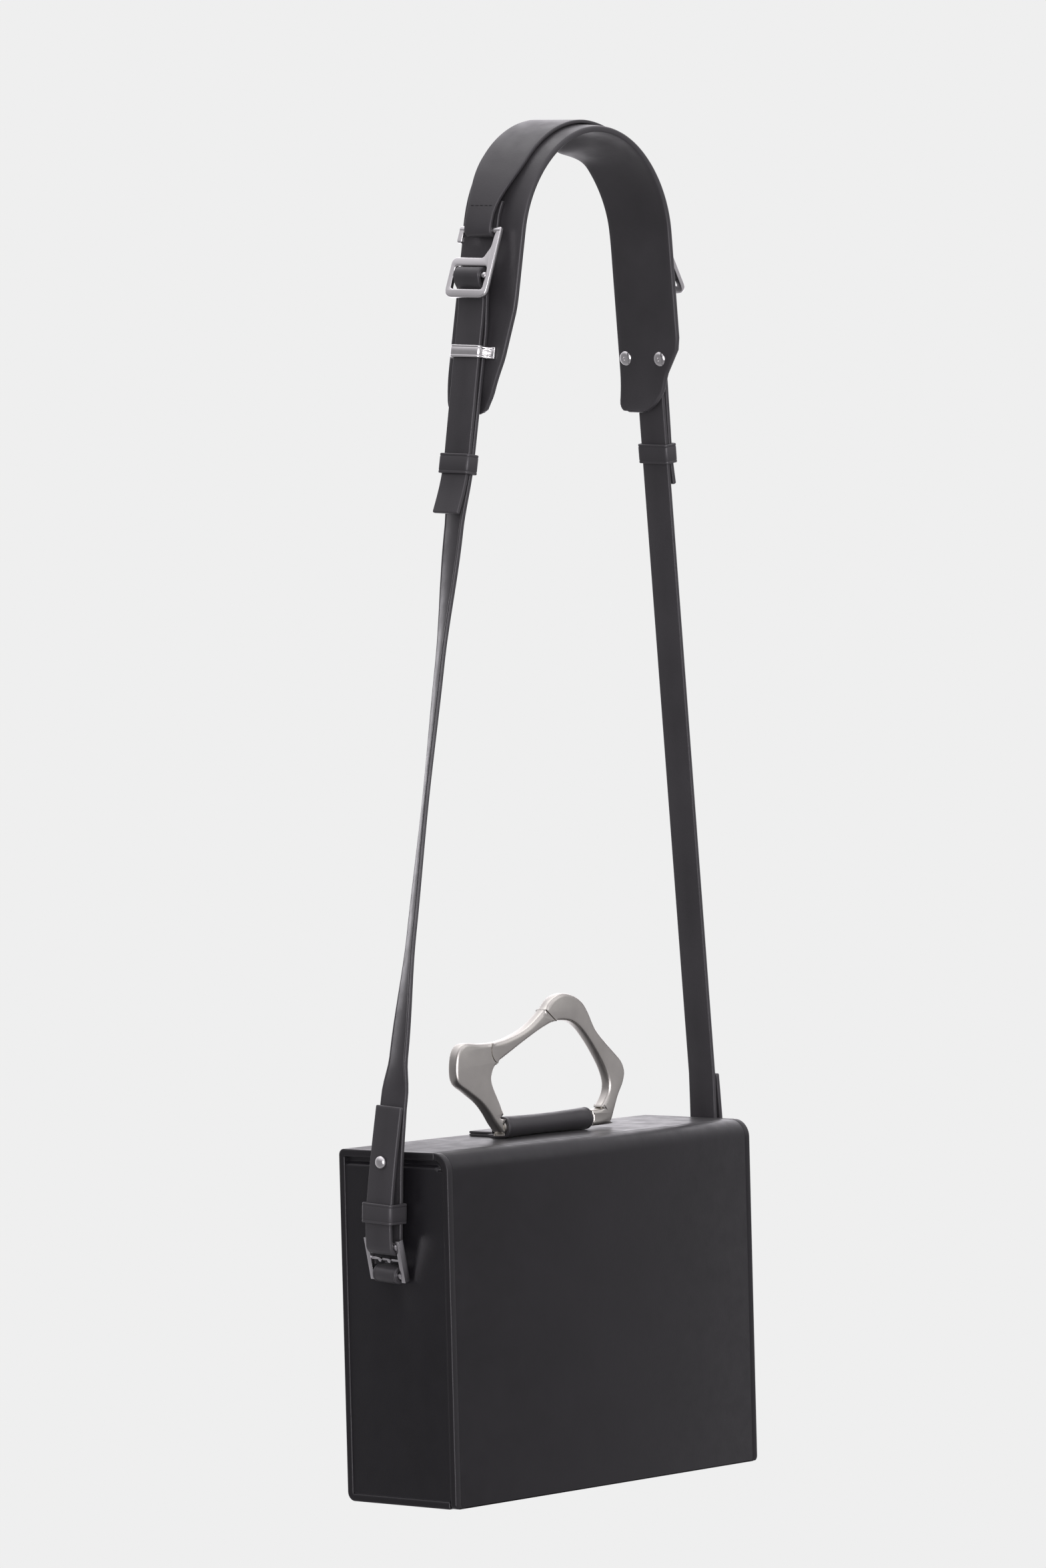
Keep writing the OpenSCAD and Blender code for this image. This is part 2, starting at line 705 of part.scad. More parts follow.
// The pad's end bends in from the strap, a little at a time, below the bridge
pad_straight = 93;
function pad_end(steps) = [for (i = [steps:-1:0]) let(u = i/steps)
    leg_point(pad_t/2 - pad_curl*u*u, pad_straight + (pad_leg - pad_straight)*u)];

module shoulder_pad() {
    path = both_halves(concat(pad_end(5), half_arch(pad_t/2, arch_end)));
    color(leather) rotate([lean, 0, 0]) difference() {
        strip(path, pad_t, -pad_front, pad_rear);
        for (side = [LEFT, RIGHT]) scale_side(side) {
            leg_cutter([for (p = concat(pad_cut(side), pad_cut_outside)) p + [0, pad_leg]]);
            on_leg() translate([0, 0, -bridge_s(side)]) screw_spots()
                cylinder(r = rivet_r, h = 14, center = true);
        }
    }
}

module top_strap() {
    r = top_strap_t/2 + hook_bar_r + fit;
    rest = pad_t + 0.25 + top_strap_t/2;
    right_half = concat(
        leg_points(smooth([[3.9, -17.5], [5.2, -8.5], hook_bar - [r, 0]], 4)),
        tail(leg_points([for (a = [0:15:180]) hook_bar + r*[-cos(a), sin(a)]])),
        tail(smooth([leg_point(hook_bar[0] + r, hook_bar[1]), arch_point(11.2, 17.3),
            arch_point(9.1, 22), arch_point(7.2, 29.5), arch_point(rest + 0.4, 37.5),
            arch_point(rest, 46)], 4)),
        tail(half_arch(rest, 46)));
    narrow = 11.3;
    full = top_strap_w/2 + 0.5;
    beyond = 30;
    color(leather) rotate([lean, 0, 0]) difference() {
        strip(both_halves(right_half), top_strap_t, -top_strap_w/2, top_strap_w/2);
        for (side = [LEFT, RIGHT], v = [-1, 1]) scale_side(side)
            leg_cutter([[v*narrow, 20], [v*narrow, -12.5], [v*full, -46.5],
                        [v*beyond, -46.5], [v*beyond, 20]]);
    }
}

// ---- nodes -------------------------------------------------------------------

top_panel();
back_panel();
bottom_panel();
front_wall();
side_panel(LEFT);  // left_side_panel
side_panel(RIGHT);  // right_side_panel
case_lining();
inner_pocket();
case_magnets();
flap_fold();
flap_cover();
flap_board();
flap_lining();
flap_magnets();
handle_tab();
handle_backplate();
handle_rivets();
handle_frame();
handle_gate();
gate_pin();
gate_spring();
side_tab(LEFT);  // left_side_tab
side_tab(RIGHT);  // right_side_tab
tab_plate(LEFT);  // left_tab_plate
tab_plate(RIGHT);  // right_tab_plate
tab_rivets(LEFT);  // left_tab_rivets
tab_rivets(RIGHT);  // right_tab_rivets
buckle(LEFT);  // left_buckle
buckle(RIGHT);  // right_buckle
strap(LEFT);  // left_strap
strap(RIGHT);  // right_strap
strap_stud(LEFT);  // left_strap_stud
strap_stud(RIGHT);  // right_strap_stud
lower_keeper(LEFT);  // left_lower_keeper
lower_keeper(RIGHT);  // right_lower_keeper
upper_keeper(LEFT);  // left_upper_keeper
upper_keeper(RIGHT);  // right_upper_keeper
bridge(LEFT);  // left_bridge
bridge(RIGHT);  // right_bridge
bridge_screws(LEFT);  // left_bridge_screws
bridge_screws(RIGHT);  // right_bridge_screws
hook(LEFT);  // left_hook
hook(RIGHT);  // right_hook
shoulder_pad();
top_strap();
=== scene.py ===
"""Looks of the box handbag: leather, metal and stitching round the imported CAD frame."""

import json
import math

import bmesh
import bpy
from mathutils import Matrix, Vector
from mathutils.geometry import tessellate_polygon


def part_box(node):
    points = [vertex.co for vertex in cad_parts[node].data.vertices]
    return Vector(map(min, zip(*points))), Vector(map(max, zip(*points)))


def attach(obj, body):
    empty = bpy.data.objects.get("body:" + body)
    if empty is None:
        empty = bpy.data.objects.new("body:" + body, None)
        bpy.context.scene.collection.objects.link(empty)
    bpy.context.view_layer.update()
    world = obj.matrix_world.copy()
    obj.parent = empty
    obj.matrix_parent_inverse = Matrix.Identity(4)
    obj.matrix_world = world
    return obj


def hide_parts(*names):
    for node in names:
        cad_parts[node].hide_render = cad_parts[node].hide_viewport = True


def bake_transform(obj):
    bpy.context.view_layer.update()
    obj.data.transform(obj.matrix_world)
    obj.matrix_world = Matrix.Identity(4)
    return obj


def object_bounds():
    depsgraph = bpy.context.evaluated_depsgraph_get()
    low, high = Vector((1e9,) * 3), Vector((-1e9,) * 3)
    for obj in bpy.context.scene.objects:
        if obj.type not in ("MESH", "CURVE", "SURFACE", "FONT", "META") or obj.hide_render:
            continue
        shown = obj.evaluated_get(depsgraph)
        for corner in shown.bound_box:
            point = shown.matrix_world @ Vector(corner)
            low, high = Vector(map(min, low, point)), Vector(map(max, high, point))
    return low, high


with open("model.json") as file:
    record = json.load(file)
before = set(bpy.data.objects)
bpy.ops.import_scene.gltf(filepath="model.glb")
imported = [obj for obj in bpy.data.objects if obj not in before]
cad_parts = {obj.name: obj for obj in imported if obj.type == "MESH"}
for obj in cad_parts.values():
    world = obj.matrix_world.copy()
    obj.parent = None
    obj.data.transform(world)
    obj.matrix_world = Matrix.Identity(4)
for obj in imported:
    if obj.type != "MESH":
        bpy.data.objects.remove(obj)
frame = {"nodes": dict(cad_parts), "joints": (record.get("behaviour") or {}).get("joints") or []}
cad_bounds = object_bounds()

MM = 0.001
LEFT, RIGHT = -1, 1
SIDE_NAMES = {LEFT: "left", RIGHT: "right"}

# ---- places ------------------------------------------------------------------
# All sizes are millimetres until a mesh is placed. The case's top centre, the
# lean of the strap loop and the angle of its legs come from the frame.
#
# A leg of the strap loop is measured from LEG_START: n outwards from the pad, s down the leg.

CASE_W, CASE_D, CASE_H, WRAP_T = 300, 96, 230, 5
FOLD_R, REAR_TOP_R, REAR_FOOT_R, CORNER_R = 12, 4, 6, 3.6
HALF_W, FRONT_Y, REAR_Y = CASE_W/2, -CASE_D/2, CASE_D/2
BODY_FRONT_Y = FRONT_Y + WRAP_T + 0.6
joint_by_name = {j["name"]: j for j in frame["joints"]}
keeper_up = Vector(joint_by_name["right_upper_keeper_slide"]["axis"])
LEAN = math.atan2(-keeper_up.y, keeper_up.z)
LEG_ANGLE = math.asin(-keeper_up.x)
case_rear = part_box("back_panel")[1].y
case_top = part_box("top_panel")[1].z
CASE_PLACE = Matrix.Translation((0, case_rear - REAR_Y*MM, case_top)) @ Matrix.Scale(MM, 4)

ARCH_R, ARCH_H, PAD_T, PAD_FRONT, PAD_REAR, PAD_LEG = 70.5, 76.5, 4, 31, 21.5, 121
PAD_STRAIGHT, PAD_CURL = 93, 4
STRAP_W, STRAP_T, STRAP_DROP = 22, 3, 721
STRAP_N = PAD_T + 0.3 + STRAP_T/2
SHOULDER_LEAN, SHOULDER_SAG = 5, 13
TOP_STRAP_W, TOP_STRAP_T, TOP_STRAP_NARROW = 36, 2.5, 11.3
HOOK_BAR, HOOK_BAR_R = (9.2, 2.3), 2
HOOK_TILT = {LEFT: math.radians(11), RIGHT: math.radians(24)}
SLIDE_BAR_D, SLIDE_BAR_R = 30.8, 2.2
BRIDGE_S, KEEPER_S = {LEFT: 81.7, RIGHT: 85.2}, {LEFT: 154.8, RIGHT: 149.5}
SCREW_V, KEEPER_H, KEEPER_T, KEEPER_SLACK = 14.9, 13, 1.8, 0.35
LOWER_TAIL_LIFT, UPPER_KEEPER_OUT = 0.7, 11.8
HANDLE_BAR_Z, HANDLE_BAR_R = 7.5, 4.6
BUCKLE_X, BUCKLE_BAR_R, BUCKLE_DROP, BUCKLE_TILT = 159.8, 3, 20, math.radians(15)
SIDE_TAB_T, SIDE_TAB_W, TAB_BAR_R = 2.8, 20, 2.8
SIDE_RECESS, SIDE_WALL_T = 2, 4
LOWER_KEEPER_Z, STUD_Z = 21 - STRAP_DROP, 54 - STRAP_DROP
FIT = 0.1
BUCKLE_WRAP_R = BUCKLE_BAR_R + FIT + STRAP_T/2


def arch_point(n, a):
    """Point of the strap plane n outside the elliptical arch, a degrees round it."""
    c, k = math.cos(math.radians(a)), math.sin(math.radians(a))
    return Vector((ARCH_R*c, ARCH_H*(k - 1))) + n*Vector((ARCH_H*c, ARCH_R*k)).normalized()


ARCH_END = math.degrees(math.atan(ARCH_H/ARCH_R*math.tan(LEG_ANGLE)))
LEG_START = arch_point(0, ARCH_END)


def strap_place(side):
    """Matrix from the upright strap plane to the row frame, mirrored for the left side."""
    flip = Matrix.Scale(side, 4, (1, 0, 0))
    return Matrix.Rotation(LEAN, 4, "X") @ flip @ Matrix.Scale(MM, 4)


def leg_place(side):
    """Matrix from the leg's frame: x outwards from the pad, y across, z up the leg."""
    start = Matrix.Translation((LEG_START.x, 0, LEG_START.y))
    return strap_place(side) @ start @ Matrix.Rotation(-LEG_ANGLE, 4, "Y")


def leg_point(n, s):
    """Point of the strap plane from n outwards and s down the leg."""
    c, k = math.cos(LEG_ANGLE), math.sin(LEG_ANGLE)
    return LEG_START + n*Vector((c, k)) + s*Vector((k, -c))


# ---- curves ------------------------------------------------------------------

def spoke(r, degrees):
    """The point at radius r and the given angle round the origin."""
    a = math.radians(degrees)
    return r*Vector((math.cos(a), math.sin(a)))


def arc(centre, r, start, end, steps):
    return [Vector(centre) + spoke(r, start + (end - start)*i/steps) for i in range(steps + 1)]


def smooth(points, steps):
    """Catmull-Rom curve through the points."""
    p = [Vector(q) for q in points]
    last = len(p) - 1
    out = []
    for i in range(last):
        a, b, c, d = p[max(i - 1, 0)], p[i], p[i + 1], p[min(i + 2, last)]
        for k in range(steps):
            t = k/steps
            out.append(0.5*(2*b + (c - a)*t + (2*a - 5*b + 4*c - d)*t*t + (3*b - a - 3*c + d)*t*t*t))
    return out + [p[last]]


def curve(start, leaving, arriving, end, steps):
    """Cubic curve with the given tangent handles at its ends."""
    out = []
    for k in range(steps + 1):
        t = k/steps
        out.append((1 - t)**3*start + 3*(1 - t)**2*t*(start + leaving)
                   + 3*(1 - t)*t*t*(end - arriving) + t**3*end)
    return out


def ease(x, low, high):
    """0 below low, 1 above high, smooth between."""
    t = min(max((x - low)/(high - low), 0), 1)
    return t*t*(3 - 2*t)


def linear(x, low, high):
    return (x - low)/(high - low)


def between(x, table, rise):
    """Value at x in a short table of (x, value); rise is ease or linear."""
    if x <= table[0][0]:
        return table[0][1]
    for (x0, v0), (x1, v1) in zip(table, table[1:]):
        if x <= x1:
            return v0 + (v1 - v0)*rise(x, x0, x1)
    return table[-1][1]


def normals(path):
    """Unit normals of a path, on its left."""
    out = []
    for i in range(len(path)):
        d = path[min(i + 1, len(path) - 1)] - path[max(i - 1, 0)]
        out.append(Vector((-d.y, d.x)).normalized())
    return out


# ---- meshes ------------------------------------------------------------------

def link(thing):
    """Puts an object into the scene."""
    bpy.context.scene.collection.objects.link(thing)
    return thing


def evaluated(holder):
    """Mesh of an object as it comes out in the scene. The object is removed."""
    bpy.context.view_layer.update()
    mesh = bpy.data.meshes.new_from_object(holder.evaluated_get(bpy.context.evaluated_depsgraph_get()))
    bpy.data.objects.remove(holder)
    return mesh


def joined(name, parts, place):
    """One placed mesh from millimetre parts. A part is (verts, faces, slots, place)."""
    verts, faces, slots = [], [], []
    for part_verts, part_faces, part_slots, part_place in parts:
        base = len(verts)
        verts += [place @ part_place @ v for v in part_verts]
        faces += [tuple(base + i for i in f) for f in part_faces]
        slots += part_slots
    mesh = bpy.data.meshes.new(name)
    mesh.from_pydata(verts, [], faces)
    mesh.polygons.foreach_set("material_index", slots)
    return mesh


def make_piece(name, parts, place, materials, body, replaced=()):
    """A piece from parts, placed and put on its body."""
    return finish_piece(name, joined(name, parts, place), materials, body, replaced)


def cleaned(mesh):
    """Merges points that coincide and turns all faces outwards."""
    bm = bmesh.new()
    bm.from_mesh(mesh)
    bmesh.ops.remove_doubles(bm, verts=bm.verts, dist=2e-6)
    bmesh.ops.recalc_face_normals(bm, faces=bm.faces)
    bm.to_mesh(mesh)
    bm.free()


def finish_piece(name, mesh, materials, body, replaced=(), sharp=40):
    """A shaded piece from a mesh with its materials, put on its body in place of the parts it replaces.
    """
    cleaned(mesh)
    for polygon in mesh.polygons:
        polygon.use_smooth = True
    mesh.set_sharp_from_angle(angle=math.radians(sharp))
    mesh.materials.clear()
    for m in materials:
        mesh.materials.append(m)
    piece = link(bpy.data.objects.new(name, mesh))
    if body:
        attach(piece, body)
    if replaced:
        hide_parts(*replaced)
    return piece


HERE = Matrix.Identity(4)
# Slots of a strip: face, painted edge, and the band next to each face that carries the painted arris
# highlight
FACE, EDGE, RUB_HIGHLIGHT = 0, 1, 2
# How far the painted arris highlight reaches onto the flat of the edge
RUB_HIGHLIGHT_REACH, CREASE_DEPTH = 0.75, 0.22


class Station:
    """One cross-section of a strip: its middle, its half-thickness vector and its width's span."""

    def __init__(self, middle, half, across, low, high, end=False):
        self.middle, self.half, self.across = Vector(middle), Vector(half), Vector(across)
        self.low, self.high, self.end = low, high, end


def strip_profile(low, high, t, r, crease, columns):
    """Outline of a strip's section as (v, n, slot of the stretch that follows).
    Next to both faces the edge carries a painted highlight, partly worn paint; it keeps its dark paint in
    the middle."""
    flat = t/2 - r
    down = [(90, FACE), (62, RUB_HIGHLIGHT), (28, RUB_HIGHLIGHT)]
    levels = [flat, RUB_HIGHLIGHT_REACH, -RUB_HIGHLIGHT_REACH, -flat] if flat > RUB_HIGHLIGHT_REACH else [flat, -flat]
    slots = [RUB_HIGHLIGHT, EDGE, RUB_HIGHLIGHT, RUB_HIGHLIGHT] if flat > RUB_HIGHLIGHT_REACH else [EDGE, RUB_HIGHLIGHT]
    side = [(r*math.cos(math.radians(a)), flat + r*math.sin(math.radians(a)), slot) for a, slot in down]
    side += [(r, n, slot) for n, slot in zip(levels, slots)]
    side += [(r*math.cos(math.radians(a)), -flat - r*math.sin(math.radians(a)), slot)
             for a, slot in ((28, RUB_HIGHLIGHT), (62, FACE))]
    inner = [low + r, low + crease - 0.5, low + crease, low + crease + 0.5]
    depth = [0, 0, CREASE_DEPTH, 0]
    span_low, span_high = inner[-1], high - crease - 0.5
    inner += [span_low + (span_high - span_low)*k/(columns + 1) for k in range(1, columns + 1)]
    inner += [span_high, high - crease, high - crease + 0.5]
    depth += [0]*columns + [0, CREASE_DEPTH, 0]
    if not crease:
        inner = [low + r + (high - low - 2*r)*k/(columns + 1) for k in range(columns + 1)]
        depth = [0]*len(inner)
    out = [(v, t/2 - d, FACE) for v, d in zip(inner, depth)]
    out += [(high - r + v, n, slot) for v, n, slot in side]
    out += [(high - r - (high - low - 2*r)*k/(columns + 1), -t/2, FACE) for k in range(columns + 1)]
    out += [(low + r - v, -n, slot) for v, n, slot in side]
    return out


def round_end(stations, r, first):
    """Replaces a strip's end by a few stations that round it off."""
    at, step = (0, 1) if first else (len(stations) - 1, -1)
    s, inside = stations[at], stations[at + step]
    outward = (s.middle - inside.middle).normalized()
    added = []
    for a in (0, 30, 60, 90):
        c, k = 1 - math.cos(math.radians(a)), math.sin(math.radians(a))
        middle, half = s.middle - outward*r*(1 - k), s.half*(1 - r*c/s.half.length)
        added.append(Station(middle, half, s.across, s.low + r*c, s.high - r*c, a > 0))
    if first:
        return list(reversed(added)) + stations[1:]
    return stations[:-1] + added


def strip(name, stations, t, r, place, materials, body, replaced=(), crease=2.2, closed=False,
          columns=1, shape=None):
    """A leather strip with rounded, painted edges through the stations.
    shape moves a point, given its station and its place across the width."""
    if not closed:
        stations = round_end(round_end(stations, r, True), r, False)
    verts, faces, slots = [], [], []
    for s in stations:
        for v, n, _ in strip_profile(s.low, s.high, t, r, crease, columns):
            point = s.middle + s.half*(n/(t/2)) + s.across*v
            verts.append(shape(point, s, v) if shape else point)
    profile = strip_profile(stations[0].low, stations[0].high, t, r, crease, columns)
    count = len(profile)
    rows = len(stations)
    for i in range(rows if closed else rows - 1):
        a, b = i*count, (i + 1) % rows*count
        for k in range(count):
            m = (k + 1) % count
            faces.append((a + k, a + m, b + m, b + k))
            rounded = stations[i].end or stations[(i + 1) % rows].end
            slots.append(EDGE if rounded else profile[k][2])
    if not closed:
        faces += [tuple(range(count)), tuple(range((rows - 1)*count, rows*count))]
        slots += [EDGE, EDGE]
    return make_piece(name, [(verts, faces, slots, HERE)], place, materials, body, replaced)


def flat_stations(path, t, low, high, twist=None):
    """Stations along a path of (x, z) points, across Y. low and high may be functions of the point."""
    out = []
    for p, n in zip(path, normals(path)):
        across, half = Vector((0, 1, 0)), Vector((n.x, 0, n.y))
        if twist:
            turn = Matrix.Rotation(twist(p), 3, Vector((n.y, 0, -n.x)))
            across, half = turn @ across, turn @ half
        lo = low(p) if callable(low) else low
        hi = high(p) if callable(high) else high
        out.append(Station((p.x, 0, p.y), half*(t/2), across, lo, hi))
    return out


def plate(outlines, t, bevel):
    """Mesh of a flat plate with rounded edges in its XY plane, from outlines and holes."""
    data = bpy.data.curves.new("plate", "CURVE")
    data.dimensions = "2D"
    data.fill_mode = "BOTH"
    data.extrude = t/2 - bevel
    data.bevel_depth = bevel
    data.offset = -bevel
    data.bevel_resolution = 2
    for outline in outlines:
        spline = data.splines.new("POLY")
        spline.points.add(len(outline) - 1)
        for point, (x, y) in zip(spline.points, outline):
            point.co = (x, y, 0, 1)
        spline.use_cyclic_u = True
    mesh = evaluated(link(bpy.data.objects.new("plate", data)))
    bpy.data.curves.remove(data)
    return mesh


def rounded(corners, steps=5):
    """Closed outline from (x, y, radius) corners."""
    out = []
    count = len(corners)
    for i, (x, y, r) in enumerate(corners):
        here = Vector((x, y))
        back = (Vector(corners[i - 1][:2]) - here).normalized()
        ahead = (Vector(corners[(i + 1) % count][:2]) - here).normalized()
        if r == 0:
            out.append(here)
            continue
        reach = r/math.tan(back.angle(ahead)/2)
        start, end = here + back*reach, here + ahead*reach
        for k in range(steps + 1):
            u = k/steps
            out.append(start*(1 - u)**2 + 2*here*u*(1 - u) + end*u*u)
    return out


def lathe(profile, steps=32):
    """Verts and faces of a profile of (r, z) turned about Z."""
    verts, faces = [], []
    for r, z in profile:
        for k in range(steps):
            a = 2*math.pi*k/steps
            verts.append(Vector((r*math.cos(a), r*math.sin(a), z)))
    for i in range(len(profile) - 1):
        for k in range(steps):
            m = (k + 1) % steps
            faces.append((i*steps + k, i*steps + m, (i + 1)*steps + m, (i + 1)*steps + k))
    faces.append(tuple(range(steps)))
    faces.append(tuple(range((len(profile) - 1)*steps, len(profile)*steps)))
    return verts, faces


def bar(r, length, rim=0.4):
    """Verts and faces of a round bar along Z from 0, with softened ends."""
    return lathe([(r - rim, 0), (r - 0.3*rim, 0.3*rim), (r, rim), (r, length - rim),
                  (r - 0.3*rim, length - 0.3*rim), (r - rim, length)])


def solid_part(solid, place, slot=0):
    """A part from a solid's (verts, faces)."""
    verts, faces = solid
    return verts, faces, [slot]*len(faces), place


def mesh_part(mesh, place, slot=0):
    """A part from a mesh."""
    verts = [v.co.copy() for v in mesh.vertices]
    return solid_part((verts, [tuple(p.vertices) for p in mesh.polygons]), place, slot)


def chrome_piece(node, ending, parts, place):
    """A chrome piece of the bag body that replaces its node."""
    make_piece(node + ending, parts, place, [chrome], "bag", [node])


# ---- materials ---------------------------------------------------------------

class Nodes:
    """A node tree in the making, with short calls for the nodes it needs."""

    def __init__(self, tree):
        self.tree = tree

    def put(self, value, socket):
        """Links a node's output to a socket, or sets the socket to a plain value."""
        if isinstance(value, bpy.types.NodeSocket):
            self.tree.links.new(value, socket)
        else:
            socket.default_value = value

    def new(self, kind, inputs=(), **settings):
        node = self.tree.nodes.new("ShaderNode" + kind)
        for name, value in settings.items():
            setattr(node, name, value)
        for name, value in dict(inputs).items():
            self.put(value, node.inputs[name])
        return node

    def noise(self, place, scale, detail=3.0, roughness=0.5):
        inputs = {"Vector": place, "Scale": scale, "Detail": detail, "Roughness": roughness}
        return self.new("TexNoise", inputs).outputs["Fac"]

    def span(self, value, low, high, from_low=0.0, from_high=1.0):
        inputs = {"Value": value, "From Min": from_low, "From Max": from_high,
                  "To Min": low, "To Max": high}
        return self.new("MapRange", inputs).outputs["Result"]

    def total(self, a, b):
        return self.new("Math", {0: a, 1: b}, operation="ADD").outputs[0]

    def ramp(self, value, stops):
        node = self.new("ValToRGB", {"Fac": value})
        elements = node.color_ramp.elements
        for element, (position, colour) in zip(elements, (stops[0], stops[-1])):
            element.position = position
            element.color = (*colour, 1)
        for position, colour in stops[1:-1]:
            elements.new(position).color = (*colour, 1)
        return node.outputs["Color"]


class Surface(Nodes):
    """A material in the making, in the piece's own coordinates."""

    def __init__(self, name):
        self.material = bpy.data.materials.new(name)
        self.material.use_nodes = True
        super().__init__(self.material.node_tree)
        self.shader = self.tree.nodes["Principled BSDF"]
        self.place = self.coordinates((1, 1, 1))

    def coordinates(self, scale):
        own = self.new("TexCoord").outputs["Object"]
        return self.new("Mapping", {"Vector": own, "Scale": scale}).outputs["Vector"]

    def set(self, **values):
        """Sets or links the shader's sockets, named with _ for spaces."""
        for name, value in values.items():
            self.put(value, self.shader.inputs[name.replace("_", " ")])

    def bump(self, height, distance, strength, under=None):
        inputs = {"Height": height, "Distance": distance, "Strength": strength}
        if under:
            inputs["Normal"] = under
        normal = self.new("Bump", inputs).outputs["Normal"]
        self.set(Normal=normal)
        return normal


def tint(colour, share):
    return tuple(min(c*share, 1) for c in colour)


def leather(name, colour, rough, depth, pore=1400):
    """Smooth calf leather: fine pores, faint cloudy colour, and edges rubbed a little lighter."""
    s = Surface(name)
    clouds = s.ramp(s.noise(s.place, 22, 4), [(0.32, tint(colour, 0.86)), (0.68, tint(colour, 1.16))])
    edges = s.new("NewGeometry").outputs["Pointiness"]
    rub = s.ramp(edges, [(0.505, (0, 0, 0)), (0.56, (1, 1, 1))])
    worn = s.new("Mix", {"Factor": rub}, data_type="RGBA")
    a, b = [socket for socket in worn.inputs if socket.type == "RGBA"]
    s.put(clouds, a)
    s.put((*(c*1.35 + 0.012 for c in colour), 1), b)
    s.set(Base_Color=next(socket for socket in worn.outputs if socket.type == "RGBA"))
    cells = s.new("TexVoronoi", {"Vector": s.place, "Scale": pore}, feature="DISTANCE_TO_EDGE")
    grain = s.total(cells.outputs["Distance"], s.noise(s.place, pore*0.6, 2))
    soft = s.bump(s.noise(s.place, 60, 2), 0.0006, 0.22)
    s.bump(grain, 0.00012, depth, soft)
    s.set(Roughness=s.span(s.noise(s.place, 90, 3), rough - 0.06, rough + 0.07, 0.3, 0.7),
          Specular_IOR_Level=0.5, Sheen_Weight=0.05, Sheen_Roughness=0.45)
    return s.material


def edge_paint(name, colour):
    """Painted leather edge: glossier than the face, with a slightly uneven film."""
    s = Surface(name)
    film = s.noise(s.place, 180, 3)
    s.set(Base_Color=s.ramp(film, [(0.3, tint(colour, 0.8)), (0.7, tint(colour, 1.25))]),
          Roughness=s.span(s.noise(s.place, 300, 2), 0.24, 0.4))
    s.bump(s.noise(s.place, 500, 2), 0.0002, 0.35)
    return s.material


def rub_highlight_edge(name, dark, light):
    """Arris of a painted edge: its light colour is a painted highlight, broken into short stretches like
    worn paint.
    """
    s = Surface(name)
    rub_highlight_stretches = s.noise(s.place, 210, 4, 0.65)
    s.set(Base_Color=s.ramp(rub_highlight_stretches, [(0.36, dark), (0.50, tint(light, 0.5)), (0.66, light)]),
          Roughness=s.span(rub_highlight_stretches, 0.28, 0.5))
    s.bump(s.noise(s.place, 600, 2), 0.0002, 0.4)
    return s.material


def suede(name, colour):
    """Short-napped microfibre lining."""
    s = Surface(name)
    nap = s.noise(s.place, 35, 5, 0.7)
    s.set(Base_Color=s.ramp(nap, [(0.3, tint(colour, 0.75)), (0.7, tint(colour, 1.3))]),
          Roughness=s.span(s.noise(s.place, 400, 2), 0.85, 1.0), Sheen_Weight=0.5, Sheen_Roughness=0.35)
    s.bump(s.noise(s.place, 2600, 3), 0.0004, 0.8)
    return s.material


def metal(name, colour, rough, brush, brush_scale, depth, cloud):
    """Metal with fine marks along the stretched axis and faint clouding."""
    s = Surface(name)
    marks = s.noise(s.coordinates(brush), brush_scale, 3)
    clouds = s.noise(s.place, 45, 4, 0.6)
    sheen = s.total(s.span(marks, -0.05, 0.06), s.span(clouds, rough - 0.04, rough + 0.05, 0.3, 0.7))
    s.set(Base_Color=s.ramp(clouds, [(0.3, tint(colour, 1 - cloud)), (0.7, tint(colour, 1 + cloud))]),
          Metallic=1.0, Roughness=sheen)
    s.bump(marks, 0.00006, depth)
    return s.material


def thread(name, colour):
    """Waxed sewing thread with its twist."""
    s = Surface(name)
    wave = s.new("TexWave", {"Vector": s.place, "Scale": 900, "Distortion": 1.5}).outputs["Fac"]
    # The colour darkens with the bump's low parts: painted shade in the twist's grooves
    s.set(Base_Color=s.ramp(wave, [(0, tint(colour, 0.6)), (1, colour)]), Roughness=0.6)
    s.bump(wave, 0.0002, 0.6)
    return s.material


def board(name, colour):
    """Pressed fibre board."""
    s = Surface(name)
    fibres = s.noise(s.place, 600, 5, 0.7)
    s.set(Base_Color=s.ramp(fibres, [(0.3, tint(colour, 0.7)), (0.7, colour)]), Roughness=0.9)
    s.bump(s.noise(s.place, 900, 4), 0.0003, 0.5)
    return s.material


calf = leather("calf", (0.0095, 0.0085, 0.0105), rough=0.40, depth=0.3)
strap_calf = leather("strap_calf", (0.042, 0.040, 0.043), rough=0.38, depth=0.35)
side_calf = leather("side_calf", (0.0095, 0.0088, 0.011), rough=0.36, depth=0.35)
edge = edge_paint("edge", (0.010, 0.0095, 0.0105))
# Light colour of the arrises: a painted highlight, partly worn paint
rub_highlight = rub_highlight_edge("rub_highlight", (0.05, 0.048, 0.05), (0.5, 0.48, 0.48))
lining = suede("lining", (0.055, 0.052, 0.053))
ring_face = metal("ring_face", (0.62, 0.60, 0.56), 0.34, (1, 1, 6), 500, 0.25, 0.07)
ring_edge = metal("ring_edge", (0.88, 0.87, 0.85), 0.15, (1, 1, 1), 300, 0.08, 0.04)
chrome = metal("chrome", (0.80, 0.79, 0.79), 0.2, (1, 4, 1), 400, 0.1, 0.05)
dark_chrome = metal("dark_chrome", (0.66, 0.65, 0.66), 0.17, (1, 4, 1), 400, 0.1, 0.08)
steel = metal("steel", (0.50, 0.50, 0.51), 0.34, (4, 1, 1), 500, 0.3, 0.1)
fibre = board("fibre", (0.30, 0.25, 0.19))
dark_thread = thread("dark_thread", (0.008, 0.008, 0.009))
LEATHER = [calf, edge, rub_highlight]
STRAP_LEATHER = [strap_calf, edge, rub_highlight]

# ---- case --------------------------------------------------------------------

